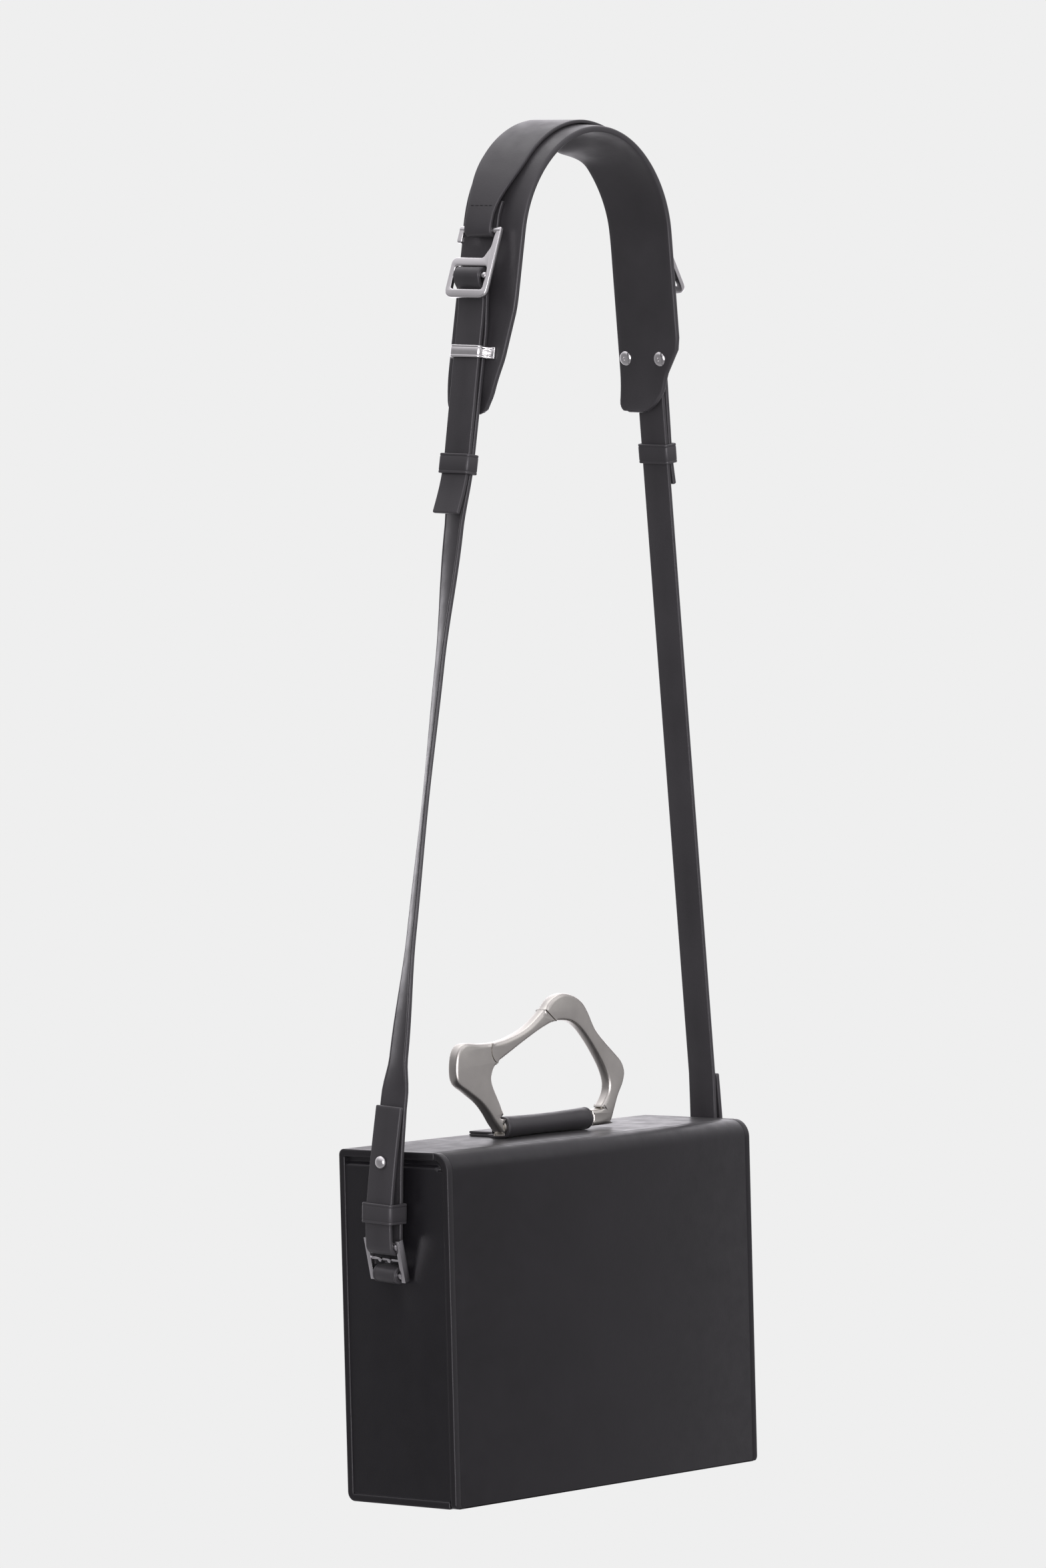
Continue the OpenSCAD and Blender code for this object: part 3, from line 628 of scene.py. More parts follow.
def paired_stations(outer, inner, low, high):
    """Stations across X from paired outer and inner (y, z) points."""
    out = []
    for o, i in zip(outer, inner):
        middle = (o + i)/2
        half = (o - i)/2
        out.append(Station((0, middle.x, middle.y), (0, half.x, half.y), (1, 0, 0), low, high))
    return out


def run_points(a, b, steps):
    return [Vector(a).lerp(Vector(b), k/steps) for k in range(steps + 1)]


def wrap_line(depth, top_r, foot_r):
    """Section of the wrap, depth inside its outer face, as (y, z) points."""
    rear, top, foot = REAR_Y - depth, -depth, -CASE_H + depth
    return (run_points((FRONT_Y + FOLD_R, top), (rear - top_r, top), 12)
            + arc((rear - top_r, top - top_r), top_r, 90, 0, 8)[1:]
            + run_points((rear, top - top_r), (rear, foot + foot_r), 12)[1:]
            + arc((rear - foot_r, foot + foot_r), foot_r, 0, -90, 8)[1:]
            + run_points((rear - foot_r, foot), (BODY_FRONT_Y, foot), 12)[1:])


def case_wrap():
    """Top, back and bottom as one bent panel."""
    sharp = 0.6
    outer = wrap_line(0, REAR_TOP_R, REAR_FOOT_R)
    inner = wrap_line(WRAP_T, sharp, sharp)
    strip("case_wrap", paired_stations(outer, inner, -HALF_W, HALF_W), WRAP_T, 0.9, CASE_PLACE,
          LEATHER, "bag", ["top_panel", "back_panel", "bottom_panel"], crease=5)


def flap_leather():
    """The flap with its fold: one strip of leather from the foot up the front and round onto the case's
    top.
    """
    foot, low_fold = -CASE_H + CORNER_R, -FOLD_R - 30

    def line(y, fold_r):
        return (run_points((y, -CASE_H), (y, foot), 8)
                + run_points((y, foot), (y, low_fold), 20)[1:]
                + run_points((y, low_fold), (y, -FOLD_R), 8)[1:]
                + arc((FRONT_Y + FOLD_R, -FOLD_R), fold_r, 180, 90, 16)[1:])

    outer, inner = line(FRONT_Y, FOLD_R), line(FRONT_Y + WRAP_T, FOLD_R - WRAP_T)
    stations = paired_stations(outer, inner, -HALF_W, HALF_W)
    for s in stations:
        left = max(foot - s.middle.z, 0)
        cut = CORNER_R - math.sqrt(CORNER_R**2 - left**2)
        s.low, s.high = s.low + cut, s.high - cut
    piece = strip("flap_leather", stations, WRAP_T, 0.9, CASE_PLACE,
                  LEATHER, None, ["flap_cover", "flap_lining", "flap_fold"], crease=5)
    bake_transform(piece)


def side_panel(side):
    """Padded side panel, sunk under the case's top, with a dimple under the strap's tab."""
    y0, y1 = BODY_FRONT_Y - 0.1, REAR_Y - WRAP_T - 0.1
    z0, z1 = -CASE_H + WRAP_T + 0.1, -WRAP_T - 0.3
    mid_y, mid_z = (y0 + y1)/2, (z0 + z1)/2
    outer_x = HALF_W - SIDE_RECESS + 1
    columns, rows = 56, 120
    tab_y, tab_z = -3, -96
    swell_height, lip_depth, dimple_depth = 0.5, 2.6, 1.1
    verts, faces = [], []
    for j in range(rows + 1):
        for i in range(columns + 1):
            y = y0 + (y1 - y0)*ease_ends(i/columns)
            z = z0 + (z1 - z0)*ease_ends(j/rows)
            under_fold = y < mid_y and z > mid_z
            corner = 6.3 if under_fold else 1.2
            half_y, half_z = (y1 - y0)/2 - corner, (z1 - z0)/2 - corner
            dy = max(abs(y - mid_y) - half_y, 0)
            dz = max(abs(z - mid_z) - half_z, 0)
            if dy > 0 and dz > 0 and math.hypot(dy, dz) > corner:
                k = corner/math.hypot(dy, dz)
                y = mid_y + math.copysign(half_y + dy*k, y - mid_y)
                z = mid_z + math.copysign(half_z + dz*k, z - mid_z)
                dy, dz = dy*k, dz*k
            from_corner = corner - math.hypot(dy, dz) if dy > 0 and dz > 0 else 1e9
            from_top = min(z1 - z, from_corner if under_fold else 1e9)
            swell = swell_height*ease(min(from_corner, y - y0, y1 - y, z - z0, z1 - z), 0, 24)
            sunk = lip_depth*(1 - ease(from_top, 2.2, 5.5))
            dimple = dimple_depth*math.exp(-((y - tab_y)/9)**2 - ((z - tab_z)/11)**2)
            verts.append(Vector((side*(outer_x + swell - sunk - dimple), y, z)))
    for j in range(rows):
        for i in range(columns):
            a = j*(columns + 1) + i
            faces.append((a, a + 1, a + columns + 2, a + columns + 1))
    rim = ([i for i in range(columns + 1)]
           + [(j + 1)*(columns + 1) + columns for j in range(rows)]
           + [rows*(columns + 1) + columns - 1 - i for i in range(columns)]
           + [(rows - 1 - j)*(columns + 1) for j in range(rows - 1)])
    base = len(verts)
    verts += [Vector((side*(outer_x - SIDE_WALL_T), verts[k].y, verts[k].z)) for k in rim]
    for k in range(len(rim)):
        m = (k + 1) % len(rim)
        faces.append((rim[k], rim[m], base + m, base + k))
    faces.append(tuple(range(base, base + len(rim))))
    make_piece(SIDE_NAMES[side] + "_side_leather", [solid_part((verts, faces), HERE)], CASE_PLACE,
               [side_calf], "bag", [SIDE_NAMES[side] + "_side_panel"])


def ease_ends(u):
    """Spreads grid lines so that they crowd towards both ends."""
    return u - 0.75*math.sin(2*math.pi*u)/(2*math.pi)


def handle_tab():
    """Leather rolled round the ring's bar, with its leaf along the top."""
    t, leaf_end = 2.8, 36
    x0, x1 = -44.2, 38.5
    waist, narrowed, thinned = 1.1, 7, 0.4
    r = HANDLE_BAR_R + 0.05 + t/2
    low = HANDLE_BAR_Z - r
    high, floor = low + t + FIT, low - t/2
    path = ([Vector((leaf_end, low)), Vector((20, low)), Vector((8, low))]
            + arc((0, HANDLE_BAR_Z), r, -90, -325, 40)
            + smooth([(7.7, 8.2), (11.5, high + 0.9), (16, high), (26, high), (leaf_end, high)], 6))
    stations = []
    for p, n in zip(path, normals(path)):
        stations.append(Station((0, p.x, p.y), (0, n.x*t/2, n.y*t/2), (1, 0, 0), x0, x1))

    def saddle(point, station, v):
        """The leather is pulled tighter round the middle of the bar than at its ends."""
        outside = max(math.hypot(point.y, point.z - HANDLE_BAR_Z) - HANDLE_BAR_R - 0.2, 0)/t
        if point.y > 7.5:
            leaf = ease(point.y, 8, 16)
            return Vector((point.x + narrowed*leaf*(x1 - v)/(x1 - x0), point.y,
                           floor + (point.z - floor)*(1 - thinned*leaf)))
        dip = waist*(1 - ((v - (x0 + x1)/2 + 4)/((x1 - x0)/2 + 4))**2)
        pull = 1 - dip*min(outside, 1)/(r + t/2)
        return Vector((point.x, point.y*pull, HANDLE_BAR_Z + (point.z - HANDLE_BAR_Z)*pull))

    strip("handle_tab_leather", stations, t, 0.8, CASE_PLACE, STRAP_LEATHER, "bag",
          ["handle_tab"], crease=2.5, columns=12, shape=saddle)


# ---- straps ------------------------------------------------------------------

def slide_wrap(side, angle):
    """Point of the strap's middle line where it goes round the slide bar, as (n, s)."""
    tilt = HOOK_TILT[side]
    bar_at = Vector(HOOK_BAR) + SLIDE_BAR_D*Vector((math.sin(tilt), math.cos(tilt)))
    return bar_at + spoke(SLIDE_BAR_R + FIT + STRAP_T/2, -angle)


# Stretch of each leg, by distance down it, where the strap's inner layer runs straight
FREE_FROM, FREE_TO = 85.5, 573
# Upper tails, outwards and down from the middle of their keeper
UPPER_TAILS = {
    LEFT: [(15, 33), (11.6, 18), (9.9, 6), (9.4, -4), (9.6, -18)],
    RIGHT: [(10.8, 21), (9.8, 9), (9.4, 0), (9.4, -9), (9.6, -18)],
}
# Outer layer from the tail to the slide bar, and inner layer from there to the leg line
TO_SLIDE_BAR = {
    LEFT: [(10.3, 92), (10.6, 60), (11.3, 48.5), (13.2, 42.2), (17.2, 37.2), slide_wrap(LEFT, -18)],
    RIGHT: [(10.3, 92), (11.6, 66), (17, 46), slide_wrap(RIGHT, -30)],
}
FROM_SLIDE_BAR = {
    LEFT: [slide_wrap(LEFT, 190), (8.6, 43.5), (7.6, 51.5), (STRAP_N, 69.5), (STRAP_N, FREE_FROM)],
    RIGHT: [slide_wrap(RIGHT, 203), (11, 47), (6.6, 63), (STRAP_N, 76), (STRAP_N, FREE_FROM)],
}
# Twist of the left strap about its own length, in degrees, by height in the strap plane
LEFT_TWIST = [(-625, 0), (-600, -20), (-520, -38), (-435, -43), (-348, -38), (-261, -19), (-215, 0)]


def leg_points(points):
    return [leg_point(*p) for p in points]


def strap_path(side):
    """The strap's middle line in three runs: to the straight stretch, along it, round the buckle."""
    r = BUCKLE_WRAP_R
    bar_z, in_x, out_x = -STRAP_DROP, BUCKLE_X - r, BUCKLE_X + r
    upper_tail = [(n, KEEPER_S[side] + s) for n, s in UPPER_TAILS[side]]
    lower = smooth([leg_point(STRAP_N, FREE_TO), (in_x, bar_z + 54), (in_x, bar_z + 30),
                    (in_x, bar_z)], 8)
    straight = run_points(leg_point(STRAP_N, FREE_FROM), lower[0], 90)
    before = (leg_points(smooth(upper_tail + TO_SLIDE_BAR[side], 8))
              + leg_points([slide_wrap(side, a) for a in range(-3, 178, 12)])
              + leg_points(smooth(FROM_SLIDE_BAR[side], 8)))
    after = (lower[1:] + arc((BUCKLE_X, bar_z), r, 180, 360, 20)[1:]
             + smooth([(out_x, bar_z), (out_x + 0.6, bar_z + 18), (in_x + 6.3, bar_z + 54),
                       (in_x + 1.2, bar_z + 90)], 10)[1:])
    return before, straight[1:], after


def strap(side):
    """The whole strap. The left one is twisted between its keepers."""
    before, straight, after = strap_path(side)
    straight_run = {id(p) for p in straight}
    path = before + straight + after

    def turn(p):
        twisted = side == LEFT and id(p) in straight_run
        return math.radians(between(p.y, LEFT_TWIST, ease)) if twisted else 0

    node = SIDE_NAMES[side] + "_strap"
    strip(node + "_leather", flat_stations(path, STRAP_T, -STRAP_W/2, STRAP_W/2, turn), STRAP_T, 0.9,
          strap_place(side), STRAP_LEATHER, "bag", [node])


def side_tab(side):
    """Leather tab round the buckle's bar, with a flange up and down inside the case."""
    inside = HALF_W - SIDE_RECESS - SIDE_WALL_T - FIT - SIDE_TAB_T/2
    x = BUCKLE_X - BUCKLE_DROP*math.sin(BUCKLE_TILT)
    z = -STRAP_DROP - BUCKLE_DROP*math.cos(BUCKLE_TILT)
    r = TAB_BAR_R + FIT + SIDE_TAB_T/2
    bend = 1.5
    flange = 20
    path = ([Vector((inside, z + r + flange))]
            + arc((inside + bend, z + r + bend), bend, 180, 270, 6)
            + arc((x, z), r, 90, -90, 20)
            + arc((inside + bend, z - r - bend), bend, 90, 180, 6)
            + [Vector((inside, z - r - flange))])
    stations = flat_stations(path, SIDE_TAB_T, -SIDE_TAB_W/2, SIDE_TAB_W/2)
    strip(SIDE_NAMES[side] + "_tab_leather", stations, SIDE_TAB_T, 0.7, strap_place(side),
          STRAP_LEATHER, "bag", [SIDE_NAMES[side] + "_side_tab"])


def buckle(side):
    """The exact buckle with its sharp edges bevelled."""
    node = SIDE_NAMES[side] + "_buckle"
    bm = bmesh.new()
    bm.from_mesh(frame["nodes"][node].data)
    bmesh.ops.remove_doubles(bm, verts=bm.verts, dist=2e-6)
    bmesh.ops.dissolve_limit(bm, angle_limit=math.radians(1), verts=bm.verts, edges=bm.edges)
    sharp = [e for e in bm.edges
             if len(e.link_faces) == 2 and e.calc_face_angle(0) > math.radians(25)]
    bmesh.ops.bevel(bm, geom=sharp, offset=0.6*MM, segments=2, profile=0.5, affect="EDGES",
                    clamp_overlap=True)
    mesh = bpy.data.meshes.new(node + "_finish")
    bm.to_mesh(mesh)
    bm.free()
    mesh.polygons.foreach_set("material_index", [0]*len(mesh.polygons))
    finish_piece(node + "_finish", mesh, [dark_chrome], "bag", [node], sharp=30)


def keeper(side, which, x0, x1, place):
    """Leather loop round both layers, its outline in the XY plane of place."""
    t = KEEPER_T
    half = STRAP_W/2 + KEEPER_SLACK + t/2
    path = rounded([(x0 - t/2, -half, 2), (x1 + t/2, -half, 2), (x1 + t/2, half, 2), (x0 - t/2, half, 2)])
    stations = []
    for i, p in enumerate(path):
        d = path[(i + 1) % len(path)] - path[i - 1]
        n = Vector((-d.y, d.x)).normalized()
        half_t = (-n.x*t/2, -n.y*t/2, 0)
        stations.append(Station((p.x, p.y, 0), half_t, (0, 0, 1), -KEEPER_H/2, KEEPER_H/2))
    node = f"{SIDE_NAMES[side]}_{which}_keeper"
    strip(node + "_leather", stations, t, 0.6, place, STRAP_LEATHER, node, [node],
          crease=1.8, closed=True)


def keepers(side):
    """The two sliding loops of one strap end."""
    reach = BUCKLE_WRAP_R + STRAP_T/2 + KEEPER_SLACK
    low = strap_place(side) @ Matrix.Translation((0, 0, LOWER_KEEPER_Z))
    keeper(side, "lower", BUCKLE_X - reach, BUCKLE_X + reach + LOWER_TAIL_LIFT, low)
    high = leg_place(side) @ Matrix.Translation((0, 0, -KEEPER_S[side]))
    keeper(side, "upper", STRAP_N - STRAP_T/2 - KEEPER_SLACK, UPPER_KEEPER_OUT, high)


def bridge(side):
    """Polished band over the strap, its feet curving down onto the pad."""
    half, t, top = STRAP_W/2 + 0.3, 1.8, STRAP_N + 4.9 + STRAP_T/2 + 0.3
    reach = half + t/2
    corners = [(-19, PAD_T + t/2), (-reach, PAD_T + t/2, 1.6), (-reach, top + t/2, 2.6),
               (reach, top + t/2, 2.6), (reach, PAD_T + t/2, 1.6), (19, PAD_T + t/2)]
    path = rounded([(x, y, r[0] if r else 0) for x, y, *r in corners], 6)
    stations = []
    for p, n in zip(path, normals(path)):
        stations.append(Station((p.y, p.x, 0), (n.y*t/2, n.x*t/2, 0), (0, 0, 1), -4, 4))
    place = leg_place(side) @ Matrix.Translation((0, 0, -BRIDGE_S[side]))
    node = SIDE_NAMES[side] + "_bridge"
    strip(node + "_band", stations, t, 0.6, place, [chrome]*3, "bag", [node], crease=1.5)


def bridge_screws(side):
    """Domed heads against the pad's inner face, with a small socket."""
    head = [(0.4, -0.7), (1.0, -0.7), (1.25, -1.5), (2.2, -1.7), (3.4, -1.45), (4.3, -1.0),
            (4.8, -0.45), (4.8, -0.05)]
    solids = [lathe(head), bar(1.5, PAD_T + 1.5)]
    parts = []
    for v in (-SCREW_V, SCREW_V):
        turn = Matrix.Translation((0, v, -BRIDGE_S[side])) @ Matrix.Rotation(math.pi/2, 4, "Y")
        parts += [solid_part(solid, turn) for solid in solids]
    chrome_piece(SIDE_NAMES[side] + "_bridge_screws", "_heads", parts, leg_place(side))


def strap_stud(side):
    """Dome stud with a collar, its post and back disc."""
    back = -STRAP_T/2 - FIT - 0.4
    face = 6.3 + STRAP_T/2 + 0.7
    dome = [(4.3*math.cos(math.radians(a)), face + 0.5 + 2.6*math.sin(math.radians(a)))
            for a in range(0, 90, 12)]
    profile = [(3.6, face), (4.2, face + 0.15)] + dome + [(0.3, face + 3.1)]
    disc = lathe([(3.6, back - 1.2), (4, back - 0.9), (4, back - 0.2), (3.7, back)])
    at = Matrix.Translation((BUCKLE_X - BUCKLE_WRAP_R, 0, STUD_Z)) @ Matrix.Rotation(math.pi/2, 4, "Y")
    parts = [solid_part(lathe(profile), at), solid_part(disc, at),
             solid_part(bar(1.8, face - back), at @ Matrix.Translation((0, 0, back)))]
    chrome_piece(SIDE_NAMES[side] + "_strap_stud", "_dome", parts, strap_place(side))


def hook(side):
    """G-shaped hook: a rounded frame, an arm up to the hook bar, and the bar's turned-down tip."""
    t, low, top, half, arm, rail = 3.4, -SLIDE_BAR_D - 15.5, -19.2, 18, 4.3, 5.8
    frame_outline = rounded([(-half, low, 6.5), (half, low, 6.5), (half, top, 5),
                             (-half + arm + 5, top, 3), (-half + arm + 0.6, top + 7.5, 8),
                             (-half + arm, 2.2, 1.4), (-half, 2.2, 1.4)])
    window = rounded([(-half + arm, low + rail, 2), (half - arm, low + rail, 2),
                      (half - arm, top - rail, 2), (-half + arm, top - rail, 2)])
    tip = rounded([(half - arm, 2.2, 1.4), (half - arm, -9.2, 1.6), (half, -9.2, 1.6), (half, 2.2, 1.4)])
    upright = Matrix.Rotation(math.pi/2, 4, "Z") @ Matrix.Rotation(math.pi/2, 4, "X")
    along_y = Matrix.Rotation(-math.pi/2, 4, "X")
    upper = Matrix.Translation((0, -half + 0.5, 0)) @ along_y
    slide = Matrix.Translation((0, -half + arm - 0.5, -SLIDE_BAR_D)) @ along_y
    parts = [mesh_part(plate([frame_outline, window], t, 0.9), upright),
             mesh_part(plate([tip], t, 0.9), upright),
             solid_part(bar(HOOK_BAR_R, 2*half - 1), upper),
             solid_part(bar(SLIDE_BAR_R, 2*(half - arm) + 1), slide)]
    place = (leg_place(side) @ Matrix.Translation((HOOK_BAR[0], 0, -HOOK_BAR[1]))
             @ Matrix.Rotation(-HOOK_TILT[side], 4, "Y"))
    chrome_piece(SIDE_NAMES[side] + "_hook", "_metal", parts, place)


# ---- pad and top strap ---------------------------------------------------------

def half_arch(n, start, steps=40):
    return [arch_point(n, start + (90 - start)*i/steps) for i in range(steps + 1)]


def both_halves(right_half):
    return right_half + [Vector((-p.x, p.y)) for p in reversed(right_half[:-1])]


# Front edge of the pad near each end, by distance from the end
PAD_CUTS = {
    LEFT: [(-76, -31), (-68, -30.6), (-36, -25), (-12, -17.5), (-3, -12), (0, -7)],
    RIGHT: [(-50, -31), (-42, -29.6), (-25, -18.7), (-14, -15.5), (-6, -10), (0, -1)],
}


def down_leg(p):
    """How far down its leg a point of the strap plane lies."""
    return (abs(p.x) - LEG_START.x)*math.sin(LEG_ANGLE) - (p.y - LEG_START.y)*math.cos(LEG_ANGLE)


def shoulder_shift(v, middle):
    """The rear of the pad, and of the strap on it, leans left and sags right of the arch's top."""
    lean = SHOULDER_LEAN*ease(middle.z, -80, 6)
    sag = SHOULDER_SAG*ease(middle.z, -23, 8)*ease(middle.x, -8, 28)
    return Vector((-lean, 0, -sag))*ease(v, -26, PAD_REAR)


def shoulder_pad():
    """The wide pad over the shoulder, cut in at the front towards its ends."""
    corner = 7
    leg = []
    for up in [0, 0.8, 1.7, 3, 5, 7.5, 10, 14, 18, 22] + list(range(26, PAD_LEG, 4)):
        u = max(PAD_LEG - up - PAD_STRAIGHT, 0)/(PAD_LEG - PAD_STRAIGHT)
        leg.append(leg_point(PAD_T/2 - PAD_CURL*u*u, PAD_LEG - up))
    path = both_halves(leg + half_arch(PAD_T/2, ARCH_END))

    def front(p):
        return between(down_leg(p) - PAD_LEG, PAD_CUTS[RIGHT if p.x > 0 else LEFT], linear)

    def rear(p):
        left = max(down_leg(p) - (PAD_LEG - corner), 0)
        return PAD_REAR - corner + math.sqrt(max(corner**2 - left**2, 0))*0.999

    def crown(point, station, v):
        """Over the shoulder the pad's edges bend down a little."""
        across = (v - (PAD_REAR - PAD_FRONT)/2)/((PAD_REAR + PAD_FRONT)/2)
        bent = 1.5*across**2*ease(station.middle.z, -70, -8)
        return point + station.half.normalized()*bent + shoulder_shift(v, station.middle)

    piece = strip("shoulder_pad_leather", flat_stations(path, PAD_T, front, rear), PAD_T, 1.3,
                  strap_place(RIGHT), STRAP_LEATHER, "bag", ["shoulder_pad"], crease=0,
                  columns=14, shape=crown)


def top_strap():
    """The strap over the pad, looped round both hooks' upper bars."""
    r = TOP_STRAP_T/2 + HOOK_BAR_R + FIT
    rest = PAD_T + 0.25 + TOP_STRAP_T/2
    n0, s0 = HOOK_BAR
    turn = [leg_point(n0 - r*math.cos(math.radians(a)), s0 + r*math.sin(math.radians(a)))
            for a in range(0, 181, 12)]
    off_bar, up_leg = leg_point(n0 + r, s0), leg_point(0, 0) - leg_point(0, 1)
    lands = half_arch(rest, 46, 30)
    right_half = (leg_points(smooth([(3.9, -17.5), (5.2, -8.5), (n0 - r, s0)], 6)) + turn[1:]
                  + curve(off_bar, up_leg*10, (lands[1] - lands[0]).normalized()*31, lands[0], 36)[1:]
                  + lands[1:])

    def half_width(p):
        return TOP_STRAP_NARROW + (TOP_STRAP_W/2 - TOP_STRAP_NARROW)*ease(p.y, -57, -20)

    def lean(point, station, v):
        return point + shoulder_shift(v, station.middle)

    stations = flat_stations(both_halves(right_half), TOP_STRAP_T, lambda p: -half_width(p), half_width)
    strip("top_strap_leather", stations, TOP_STRAP_T, 0.8, strap_place(RIGHT), STRAP_LEATHER, "bag",
          ["top_strap"], columns=9, shape=lean)


def stitch(length, r):
    """One stitch along X: a short bead, thick in the middle."""
    verts, faces = lathe([(0.25*r, -length/2), (0.8*r, -0.38*length), (r, 0), (0.8*r, 0.38*length),
                          (0.25*r, length/2)], 8)
    return [Vector((v.z, v.x, v.y)) for v in verts], faces


def top_strap_stitches(side):
    """Row of dark stitches across the top strap, above the hook bar."""
    bead = stitch(3.0, 0.35)
    at = arch_point(10.6 + TOP_STRAP_T/2 + 0.1, 17.3)
    parts = []
    for k in range(5):
        y = -7.6 + 3.8*k
        shift = shoulder_shift(y, Vector((side*at.x, y, at.y)))
        spot = (Matrix.Translation((at.x + side*shift.x, y, at.y + shift.z))
                @ Matrix.Rotation(math.pi/2, 4, "Z"))
        parts.append(solid_part(bead, spot))
    make_piece(SIDE_NAMES[side] + "_strap_stitches", parts, strap_place(side), [dark_thread],
               "bag")


# ---- carried-over metal and inner pieces -----------------------------------------

def carried(node, material):
    """Gives a CAD node its material."""
    mesh = frame["nodes"][node].data
    mesh.materials.clear()
    mesh.materials.append(material)


def front_loops(node, front):
    """Outlines of a flat node's front face at the case's y = front, as (x, z) points."""
    inverse = CASE_PLACE.inverted()
    mesh = frame["nodes"][node].data
    points = [inverse @ v.co for v in mesh.vertices]
    links = {}
    for polygon in mesh.polygons:
        corners = [points[i] for i in polygon.vertices]
        if any(abs(p.y - front) > 0.01 for p in corners):
            continue
        spots = [(round(p.x, 2), round(p.z, 2)) for p in corners]
        for a, b in zip(spots, spots[1:] + spots[:1]):
            if a in links.get(b, []):
                links[b].remove(a)
            else:
                links.setdefault(a, []).append(b)
    loops = []
    while any(links.values()):
        here = next(k for k, v in links.items() if v)
        loop = [here]
        while links[loop[-1]]:
            step = links[loop[-1]].pop()
            if step == loop[0]:
                break
            loop.append(step)
        loops.append([Vector(p) for p in loop])
    return loops


def turned_left(loop):
    """The loop without points that crowd together, with its inside on the left."""
    out = []
    for p in loop:
        if not out or (p - out[-1]).length > 0.25:
            out.append(p)
    area = sum(a.cross(b) for a, b in zip(out, out[1:] + out[:1]))
    return out if area > 0 else out[::-1]


def width_across(loop, i, inward):
    """Distance from a point of the loop to the far side, along inward."""
    best = 1e9
    for k in range(len(loop)):
        a, b = loop[k], loop[(k + 1) % len(loop)]
        if i in (k, (k + 1) % len(loop)):
            continue
        d = b - a
        cross = inward.cross(d)
        if abs(cross) < 1e-9:
            continue
        along, share = (a - loop[i]).cross(d)/cross, (a - loop[i]).cross(inward)/cross
        if along > 0 and 0 <= share <= 1:
            best = min(best, along)
    return best


def gap(p, loop):
    """Distance from a point to a loop."""
    def to_edge(a, b):
        share = min(max((p - a).dot(b - a)/max((b - a).length_squared, 1e-9), 0), 1)
        return (a + (b - a)*share - p).length
    return min(to_edge(a, b) for a, b in zip(loop, loop[1:] + loop[:1]))


def inset(loop, amounts):
    """The loop moved inwards, less where the plate is narrow."""
    out = []
    for i, p in enumerate(loop):
        ahead = (loop[(i + 1) % len(loop)] - p).normalized()
        back = (p - loop[i - 1]).normalized()
        inward = Vector((-(ahead + back).y, (ahead + back).x)).normalized()
        reach = amounts[i]/max(inward.dot(Vector((-ahead.y, ahead.x))), 0.5)
        out.append(p + inward*min(reach, 0.4*width_across(loop, i, inward)))
    return out


def chamfered_plate(loop, t, chamfer, beside):
    """Verts, faces and slots of a plate in its XY plane: flat faces 0, sides and chamfers 1.

    Where the loop runs along one of the loops beside it, its chamfer is only a scratch wide.
    """
    loop = turned_left(loop)
    widths = [0.25 if min(gap(p, other) for other in beside) < 0.7 else chamfer for p in loop]
    rings = []
    for a in (0, math.pi/6, math.pi/3, math.pi/2):
        ring = inset(loop, [w*(1 - math.cos(a)) for w in widths])
        rings.append((ring, t/2 - chamfer*(1 - math.sin(a))))
    rings = [(ring, -z) for ring, z in reversed(rings)] + rings
    count = len(loop)
    verts = [Vector((p.x, p.y, z)) for ring, z in rings for p in ring]
    faces, slots = [], []
    for r in range(len(rings) - 1):
        for k in range(count):
            m = (k + 1) % count
            faces.append((r*count + k, r*count + m, (r + 1)*count + m, (r + 1)*count + k))
            slots.append(1)
    top = (len(rings) - 1)*count
    for base, order in ((0, -1), (top, 1)):
        for triangle in tessellate_polygon([[v.copy() for v in verts[base:base + count]]]):
            faces.append(tuple(base + i for i in triangle[::order]))
            slots.append(0)
    return verts, faces, slots


def extent(loop):
    return max(p.x for p in loop) - min(p.x for p in loop)


def handle_ring():
    """Flat ring with polished bevels: the frame with its bar, and the gate forked at the hinge."""
    t, bevel, neck_low, neck_high = 9, 2.5, -45, 40.8
    pivot, knuckle, tongue = Vector((-47, 59)), 10.3, (-1.6, 0.2)
    upright = Matrix.Rotation(math.pi/2, 4, "X")
    nodes = ("handle_frame", "handle_gate")
    loops = {node: [loop for loop in front_loops(node, -t/2) if extent(loop) > 2*HANDLE_BAR_R]
             for node in nodes}
    frame_plates, gate_plates = [
        [(*chamfered_plate(loop, t, bevel, loops[other]), upright) for loop in loops[node]]
        for node, other in zip(nodes, reversed(nodes))]
    rod = bar(HANDLE_BAR_R, neck_high - neck_low + 2, 0.2)
    along = Matrix.Translation((neck_low - 1, 0, HANDLE_BAR_Z)) @ Matrix.Rotation(math.pi/2, 4, "Y")
    root = [pivot + Vector((-13, -1)), pivot + Vector((-11, -8))]
    leaf = plate([root + arc(pivot, 4.4, -110, 110, 12)], tongue[1] - tongue[0], 0.2)
    in_slot = Matrix.Translation((0, sum(tongue)/2, 0)) @ upright
    parts = [solid_part(rod, along, 1), mesh_part(leaf, in_slot, 1)] + frame_plates
    make_piece("handle_frame_metal", parts, CASE_PLACE, [ring_face, ring_edge], "handle",
               ["handle_frame"])
    fork = [Vector(p) for p in arc(pivot, 4.9, -105, 170, 16) + arc(pivot, knuckle + 2, 172, 250, 8)]
    mesh = slotted(joined("handle_gate_metal", gate_plates, CASE_PLACE), plate([fork], 3.6, 0),
                   CASE_PLACE @ upright)
    finish_piece("handle_gate_metal", mesh, [ring_face, ring_edge], "gate",
                 ["handle_gate"])


